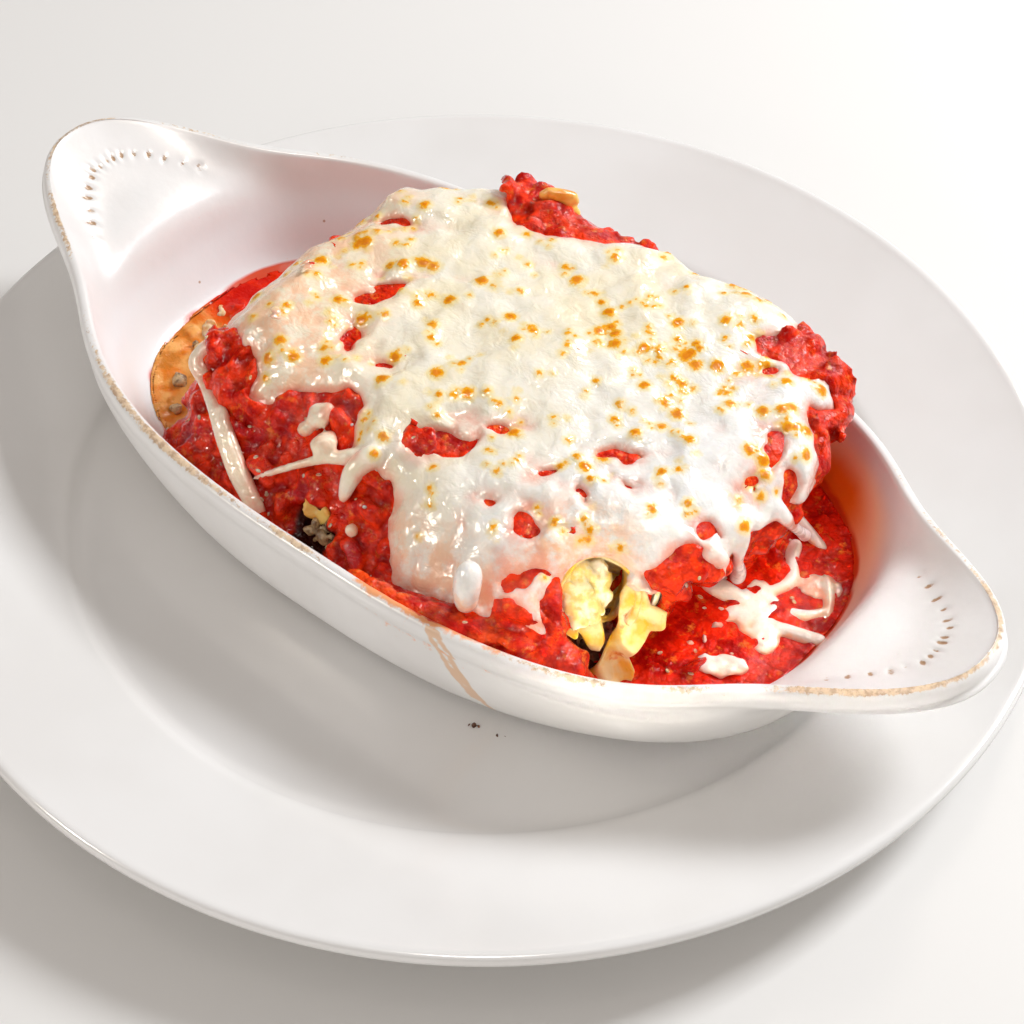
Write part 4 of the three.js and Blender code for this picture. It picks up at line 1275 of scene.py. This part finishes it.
def build_corner(looks):
    block = Block((38, -56, 14), (96, -6, 60), 0.48)
    p = np.stack(np.broadcast_arrays(*block.grid()), -1) - CURL_MOUTH
    u, v, w = np.moveaxis(p @ curl_frame(), -1, 0)
    flap = pasta_piece(u, v, w, FLAP, 0.6 - 0.10 * (v + 4) + 0.5 * np.sin(0.5 * u))
    block.set(smooth_min(curl_tube(u, v, w), flap, 0.8))
    block.roughen(2, 0.2, 4, 61)
    block.make("pasta_curl_rolled", looks["pasta"], "pasta", "pasta_curl")

    # Ricotta: curds of all sizes packed in the curl, mostly on its left.
    rng = np.random.default_rng(4)
    block.set(np.maximum(np.hypot(u + 3.2, v - 1.5) - 4.6, np.maximum(w + 1.0 + 0.42 * v, -24 - w)) + 0.6)
    for _ in range(170):
        right, high = rng.uniform(-8, 2.2), rng.uniform(-5.5, 8.5)
        if math.hypot((right + 2.9) / 5.2, (high - 1.5) / 7.2) <= 1:
            out = 1.0 - 0.42 * high + rng.normal(0, 0.9) - 0.6 * max(0, right + 2)
            block.crumb(rng, corner_point(right, high, out), rng.uniform(0.5, 1.6), blend=0.8)
    block.make("ricotta_curds_in_curl", looks["ricotta"], "ricotta", "ricotta_in_curl")

    # The ribbon that hangs from the curl's right side to the rim.
    bend = 2.2 + 1.5 * np.sin(0.62 * u + 0.3 * v) * smoothstep(-v, -2, 8) + 0.5 * np.sin(0.5 * v + 1)
    block.set(pasta_piece(u, v, w, RIBBON, bend, 0.95))
    block.roughen(2, 0.2, 3, 62)
    block.make("pasta_frill_ruffled", looks["pasta"], "pasta", "pasta_frill")

    block.empty()
    for _ in range(80):
        c = corner_point(rng.uniform(-9, 3), rng.uniform(-21, -8), rng.uniform(-8, -4))
        block.crumb(rng, c, rng.uniform(0.8, 2.0))
    block.make("meat_crumbs_in_hollow", looks["meat"], "meat")


# ---------- Small things ----------


def build_seeds(looks, sauce):
    """Small pale tomato seeds on the sauce."""
    rng = np.random.default_rng(31)
    points, _ = sauce.surface()
    out = sauce.way_out(points)
    seen = np.flatnonzero((out[:, 2] > 0.1) & (points[:, 1] < -5) & (points[:, 2] > 24))
    spots = [(points[i], out[i]) for i in rng.choice(seen, 90, replace=False)]
    for _ in range(36):
        x, y = rng.uniform(70, 108), rng.uniform(-30, 38)
        if bowl_inside(x, y, RIGHT_POOL_Z) < -2:
            spots.append((np.array([x, y, RIGHT_POOL_Z + 0.7]), np.array([0.1, 0, 1.0])))
    t, h = np.meshgrid(np.arange(8) * math.pi / 4, np.linspace(0.25, 0.75, 3) * math.pi)
    ball = np.stack([np.sin(h) * np.cos(t), np.sin(h) * np.sin(t), np.cos(h)], -1).reshape(-1, 3)
    ball = np.concatenate([ball, [(0, 0, 1), (0, 0, -1)]])
    belt, *caps = closed_faces(3, 8)
    parts = [belt[:, ::-1], np.concatenate(caps)]
    shapes = []
    for spot, up in spots:
        turn = np.array(Vector(up).to_track_quat("Z", "Y").to_matrix())
        turn = turn @ turned(rng.uniform(0, 360), rng.uniform(-20, 20))
        half = np.array([0.9, 0.55, 0.35]) * rng.uniform(0.55, 1.0)
        shapes.append(spot + up * 0.1 + (ball * half) @ turn.T)
    faces = [np.concatenate([part + k * len(ball) for k in range(len(spots))]) for part in parts]
    piece = make_mesh("tomato_seeds", np.concatenate(shapes), faces)
    finish_piece(piece, looks["seeds"], "tomato")


def build_back_tip(looks):
    """An edge of pasta that sticks out of the tomato at the back."""
    block = Block((-28, 48, 54), (-8, 66, 72), 0.5)
    block.blob((-17.5, 54.5, 66), (5.2, 1.9, 4.4), turned(35, 10, 20), 0.8, 2.8, wobble=0.35, seed=4)
    block.blob((-13.5, 55.5, 63.5), (3, 1.5, 1.6), turned(10, 20, 0), 0.8, 2.6, wobble=0.4, seed=6)
    block.make("pasta_edge_at_back", looks["pasta_back"], "pasta")


def build_rim_sauce(looks):
    """Sauce that has bubbled over the front edge of the bowl."""
    block = Block((2, -72, 36), (68, -52, 45), 0.45)
    rng = np.random.default_rng(41)
    along = [6, 28, 48, 63]
    for x in np.arange(14, 62, 1.2):
        y = np.interp(x, along, [-64.6, -64.4, -60.4, -54.6]) + rng.normal(0, 0.5)
        width = 0.9 + 1.3 * smoothstep(x, 18, 34) + 0.6 * math.sin(0.9 * x) + rng.normal(0, 0.4)
        slant = math.degrees(math.atan2(np.interp(x, along, [0, 0.1, 0.3, 0.45]), 1))
        half = (2.2, max(0.8, width), 0.7)
        block.blob((x, y, 40.2), half, turned(slant), 0.8, 2.2, wobble=0.3, seed=int(x * 7))
    block.roughen(2, 0.35, 3.2, 83)
    block.make("sauce_on_front_rim", looks["rim_sauce"], "tomato_sauce")


def build_crumbs(looks):
    """Brown crumbs on the plate in front of the dish."""
    block = Block((44, -70, 7), (64, -58, 11), 0.3)
    crumbs = (50.5, -63.4, 0.6), (51.6, -62.8, 0.35), (56.8, -62, 0.35), (58.5, -61, 0.25), (49.4, -64, 0.3)
    for cx, cy, r in crumbs:
        centre, half = (cx, cy, 8.0 + 0.5 * r), (r * 1.4, r, 0.8 * r)
        block.blob(centre, half, turned(cx * 31), 0.3, 2.5, wobble=0.5, seed=int(cx))
    block.make("crumbs_on_plate", looks["meat"], "meat")


def thin_cheese(points):
    """Cheese that floats on the right pool: its edges are stained orange."""
    depth = points[:, 2] - RIGHT_POOL_Z + 0.3 * noise(points, 2.5, 72)
    sauce_stain_and_painted_shade = 0.12 + 1.4 * smoothstep(-depth, -1.7, -0.4)
    thick = 0.5 + 2.0 * smoothstep(depth, 0.4, 1.3)
    toast, whiter = (np.full(len(points), value) for value in (-3.0, 0.5))
    return {"sauce_stain_and_painted_shade": sauce_stain_and_painted_shade, "thick": thick, "toast": toast, "whiter": whiter}


def build_floating_cheese(looks):
    level = RIGHT_POOL_Z
    block = Block((68, -32, level - 3), (112, 42, level + 6), 0.45)
    block.run([(75, 2, level), (80, 2, level + 0.2), (84, 3, level)], [2.7, 2.4, 1.6], 1.0)
    # Lumps: middle, half sizes and turn.
    for cx, cy, *half, turn in (
        (88, 3, 5, 6.5, 1.3, 0), (92, -1, 6, 4.5, 1.3, 30), (96, -5, 3.5, 4, 1.1, 0),
        (85, 8, 3, 3.5, 1.1, 0), (97, 19, 6, 4, 0.7, 20), (84, -3, 3, 3, 1, 0),
    ):
        block.blob((cx, cy, level + 0.1), half, turned(turn), 1.2, 2.4, wobble=0.35, seed=cx)
    # Shreds: points with their heights above the sauce, radii and blend.
    for line, radii, blend in (
        ([(94, 6, -0.3), (100, 9, 0), (103, 14, -0.2)], [1.6, 1.4, 1.0], 0.8),
        ([(97, 1, -0.4), (104, 3, -0.1), (107, 4, 0.3)], [2.0, 1.8, 1.5], 0.8),
        ([(84, 27, 0), (86, 22, 0), (90, 16, -0.1), (88, 9, -0.3)], [1.7, 1.6, 1.6, 1.4], 0.8),
        ([(75, 35, 1.6), (82, 33, 1), (90, 31, -0.1)], [1.9, 1.6, 1.1], 1.0),
        ([(97, 22, -0.4), (101, 17, -0.4), (104, 11, -0.4)], [1.6, 1.4, 0.9], 0.8),
    ):
        block.run([(x, y, level + z) for x, y, z in line], radii, blend)
    for cx, cy, r in ((76, 6, 1.0), (84, -8, 1.1), (82, -17, 0.8)):
        block.blob((cx, cy, level + 0.1), (r * 1.5, r, 0.6), turned(cx * 7), 0.8, wobble=0.5, seed=cx)
    block.roughen(2, 0.08, 5, 71)
    look, slot = looks["cheese"], "melted_cheese"
    block.make("cheese_on_right_pool", look, slot, "cheese_patch_pool", looks_of=thin_cheese)

    block.empty()
    block.blob((93, -18, level + 0.4), (6, 3.2, 1.4), turned(44), 1.0, wobble=0.5, seed=3)
    block.blob((89, -20, level + 0.3), (3, 2.5, 1.1), turned(10), 1.0, wobble=0.5, seed=4)
    block.make("cheese_by_right_rim", look, slot, "cheese_patch_rim", looks_of=thin_cheese)


def build_left_bits(looks):
    """Curds and meat in the left pool, and meat and an edge of pasta in the front hollow."""
    rng = np.random.default_rng(17)
    level = LEFT_POOL_Z
    block = Block((-104, -46, level - 3), (-60, 30, level + 5), 0.5)
    for _ in range(46):
        along = math.radians(rng.uniform(-205, -150))
        x = 94 * rng.uniform(0.82, 1.04) * math.cos(along)
        y = 50 * rng.uniform(0.75, 1.0) * math.sin(along)
        z = level + rng.uniform(-0.4, 0.4)
        shape = {"spread": (0.6, 1.2), "stretch": (1.3, 1, 0.6), "most_turn": 180}
        block.crumb(rng, (x, y, z), rng.uniform(0.9, 3.0), blend=0.8, power=2.3, wobble=0.6, **shape)
    cut_to_bowl(block)
    block.make("ricotta_curds_in_left_pool", looks["creamy"], "ricotta")

    block.empty()
    for cx, cy, r in ((-86, -27, 2.0), (-79, -36, 1.5), (-93, -14, 1.1)):
        for _ in range(4):
            block.crumb(rng, np.array([cx, cy, level + 0.4]) + rng.normal(0, 0.8, 3), r, (0.5, 1.0))
    cut_to_bowl(block)
    block.make("meat_crumbs_in_left_pool", looks["brown_bits"], "meat")

    block = Block((-20, -64, 26), (12, -44, 46), 0.45)
    for _ in range(18):
        c = np.array([-4, -56, 34.5]) + rng.normal(0, 1, 3) * (2.6, 1.2, 1.0)
        block.crumb(rng, c, rng.uniform(0.6, 1.5), blend=0.5)
    block.make("meat_crumbs_in_front_hollow", looks["brown_bits"], "meat")
    block.empty()
    block.blob((-9.5, -53.5, 39), (3.0, 0.8, 3.6), turned(40, 15, -35), 0.8, 3, wobble=0.5, seed=2)
    block.blob((-6.5, -54.2, 38.2), (2.2, 0.7, 2.6), turned(-20, 30, -20), 0.8, 3, wobble=0.5, seed=5)
    block.make("pasta_edge_at_front", looks["pasta_back"], "pasta")


# ---------- Looks of the food ----------


def sauce_look(
    name="tomato_sauce", deep=(0.58, 0.006, 0.002), bright=(0.98, 0.045, 0.005), painted_pulp_shade=0.45, gloss=0.6
):
    soft = (0.12, 0.002, (1.0, 0.12, 0.04))
    look = Look(name, soft, (gloss, 0.04), IOR=1.4, Coat_IOR=1.4, Specular_IOR_Level=0.1)
    tone = look.noise(7, 4, 0.6)
    # Pulp: grains a couple of millimetres across, with shade painted darker between them.
    pulp, fine = look.cells(2.5, (2.0, 0.9)), look.cells(1.2, (1.1, 0.5))
    painted_hollow_shade = look.plus(look.attribute("deep"), look.times(tone, 0.5))
    colour = look.paint(
        deep,
        (bright, look.range(tone, 0.36, 0.56)),
        ((0.99, 0.24, 0.03), look.range(look.noise(3.1, 4, 0.65), 0.55, 0.70, 0.0, 0.7)),
        ((0.36, 0.003, 0.001), look.range(pulp, 0.4, 0.8, 0.0, painted_pulp_shade)),
        # Painted shade where the surface folds inwards.
        ((0.28, 0.003, 0.001), look.range(look.attribute("crevice"), 0.2, 1.0, 0.0, 0.6)),
        # Painted shade: near black deep in the hollows.
        ((0.05, 0.006, 0.003), look.range(painted_hollow_shade, 0.55, 1.1)),
    )
    return look.finish(
        colour,
        (2.2, 0.08, 0.2),
        (look.noise(2.6, 3, 0.6), 1.0),
        (look.times(pulp, pulp), -0.5),
        (look.times(fine, fine), -0.3),
        (look.noise(0.9, 2, 0.5), 0.16),
    )


def cheese_look():
    look = Look("melted_cheese", (0.35, 0.0015, (1.0, 0.85, 0.7)), (0.5, 0.05), IOR=1.42)
    # Lower down, the sauce shines through; the same mix also paints warm shade on the lower slopes and the
    # left front side.
    sauce_stain_and_painted_shade = look.times(look.attribute("sauce_stain_and_painted_shade"), look.range(look.noise(6, 4, 0.65), 0.38, 0.6, 0.12, 1.0))
    thin = look.range(look.attribute("thick"), 0.1, 2.0, 1.0, 0.0)
    # Toasted spots, each in a paler golden ring.
    ragged = look.times(look.math("SUBTRACT", look.noise(1.3, 3, 0.6), 0.5), 2.2)
    toast = look.plus(look.attribute("toast"), ragged)
    colour = look.paint(
        (0.97, 0.85, 0.63),
        ((0.97, 0.90, 0.77), look.range(look.noise(12, 3), 0.3, 0.7)),
        ((0.95, 0.925, 0.885), look.attribute("whiter")),
        ((0.97, 0.60, 0.38), sauce_stain_and_painted_shade),
        ((0.88, 0.36, 0.24), look.times(thin, look.range(look.noise(3, 3, 0.6), 0.3, 0.6, 0.35, 0.9))),
        ((0.98, 0.72, 0.20), look.times(look.range(toast, -1.6, 0.0), 0.6)),
        ((0.93, 0.42, 0.010), look.range(toast, -0.25, 0.3)),
        ((0.78, 0.20, 0.003), look.times(look.range(toast, 0.3, 1.0), 0.75)),
    )
    bumps = (look.noise(5, 3, 0.5, 0.6), 0.7), (look.noise(1.7, 2, 0.5), 0.14)
    return look.finish(colour, (6, 0.16, 0.36), *bumps)


def pasta_look(name="pasta", golden=(1.0, 0.56, 0.07), light=(1.0, 0.80, 0.40)):
    look = Look(name, (0.5, 0.0018, (1.0, 0.8, 0.4)), (0.4, 0.1), IOR=1.45)
    colour = look.paint(
        golden,
        (light, look.range(look.noise(6, 3), 0.38, 0.62)),
        ((0.80, 0.22, 0.04), look.range(look.noise(4, 3, 0.6), 0.60, 0.72, 0.0, 0.7)),
    )
    return look.finish(colour, (5, 0.2, 0.4), (look.noise(2.5, 3, 0.5), 0.3))


def creamy_look():
    """Curds and shreds that the sauce has stained."""
    look = Look("stained_curds", (0.4, 0.003, (1.0, 0.5, 0.2)), (0.3, 0.12), IOR=1.42)
    colour = look.mix((0.80, 0.42, 0.16), (0.90, 0.70, 0.44), look.range(look.noise(4, 3, 0.6), 0.38, 0.62))
    return look.finish(colour, (3, 0.2, 0.45), (look.noise(1.6, 3, 0.6), 0.3))


def seed_look():
    look = Look("tomato_seeds", (0.4, 0.002, (1.0, 0.5, 0.2)), (0.6, 0.05), Roughness=0.25, IOR=1.42)
    colour = look.mix((1.0, 0.55, 0.28), (1.0, 0.84, 0.62), look.range(look.noise(3, 2), 0.35, 0.65))
    return look.finish(colour, None, (look.noise(0.7, 2), 0.08))


def ricotta_look():
    look = Look("ricotta", (0.4, 0.0018, (1.0, 0.85, 0.6)), IOR=1.4)
    colour = look.mix((0.99, 0.76, 0.26), (0.99, 0.92, 0.62), look.range(look.noise(3, 3), 0.38, 0.62))
    return look.finish(colour, (3, 0.35, 0.6), (look.noise(1.2, 3, 0.6), 0.3))


def meat_look(name="meat", dark=(0.10, 0.035, 0.015), light=(0.30, 0.13, 0.06)):
    look = Look(name, coat=(0.3, 0.2), IOR=1.4)
    colour = look.mix(dark, light, look.range(look.noise(2.5, 4, 0.6), 0.38, 0.62))
    return look.finish(colour, (2, 0.35, 0.7), (look.noise(1.6, 4, 0.6), 0.6))


def left_pool_look():
    """Thin orange sauce with streaks of ricotta and bits of meat in it."""
    soft = (0.1, 0.002, (1.0, 0.3, 0.1))
    look = Look("sauce_with_cream", soft, (0.15, 0.08), IOR=1.45, Specular_IOR_Level=0.1)
    front = look.attribute("cream")
    cream = look.range(look.plus(look.noise(7, 2, 0.4, 0.6), front), 0.72, 0.98)
    brown = look.range(look.plus(look.noise(4.5, 3, 0.5), look.times(front, 0.6)), 0.70, 0.88)
    colour = look.paint(
        (0.58, 0.006, 0.001),
        ((0.80, 0.025, 0.002), look.range(look.noise(8, 4, 0.6), 0.4, 0.6)),
        ((0.74, 0.20, 0.015), look.range(front, 0.08, 0.34)),
        ((0.88, 0.46, 0.14), look.times(cream, 0.8)),
        ((0.50, 0.17, 0.02), look.times(brown, 0.75)),
    )
    bumps = (look.noise(2.4, 4, 0.65), 0.35), (look.noise(0.8, 3, 0.6), 0.1)
    return look.finish(colour, (2.2, 0.12, 0.3), *bumps)


# ---------- The scene ----------

set_camera()
set_light()
floor()
build_plate()
build_dish()
mound = mound_block()
sauce = build_sauce(mound)
cheese = build_cheese(mound, sauce)
looks = {
    "sauce": sauce_look(),
    "pasta": pasta_look(),
    "pasta_back": pasta_look("pasta_stained", (0.90, 0.32, 0.03), (0.98, 0.62, 0.16)),
    "ricotta": ricotta_look(),
    "meat": meat_look(),
    "brown_bits": meat_look("light_meat", (0.22, 0.12, 0.05), (0.62, 0.44, 0.22)),
    "pool_left": left_pool_look(),
    "pool_right": sauce_look("loose_sauce", (0.50, 0.004, 0.002), (0.92, 0.022, 0.003), 0.4, 0.5),
    "rim_sauce": sauce_look("spilt_sauce", (0.70, 0.012, 0.003), (0.98, 0.08, 0.008), 0.4),
    "cheese": cheese_look(),
    "creamy": creamy_look(),
    "seeds": seed_look(),
}
stack = build_layers(mound, looks)
sauce.set(np.maximum(sauce.field, 0.25 - stack.field))
cut_to_bowl(sauce)
cut_to_bowl(cheese)
make_sauce(sauce, looks)
make_cheese(cheese, sauce, looks)
build_pools(looks)
build_corner(looks)
build_floating_cheese(looks)
build_left_bits(looks)
build_back_tip(looks)
build_crumbs(looks)
build_rim_sauce(looks)
build_seeds(looks, sauce)
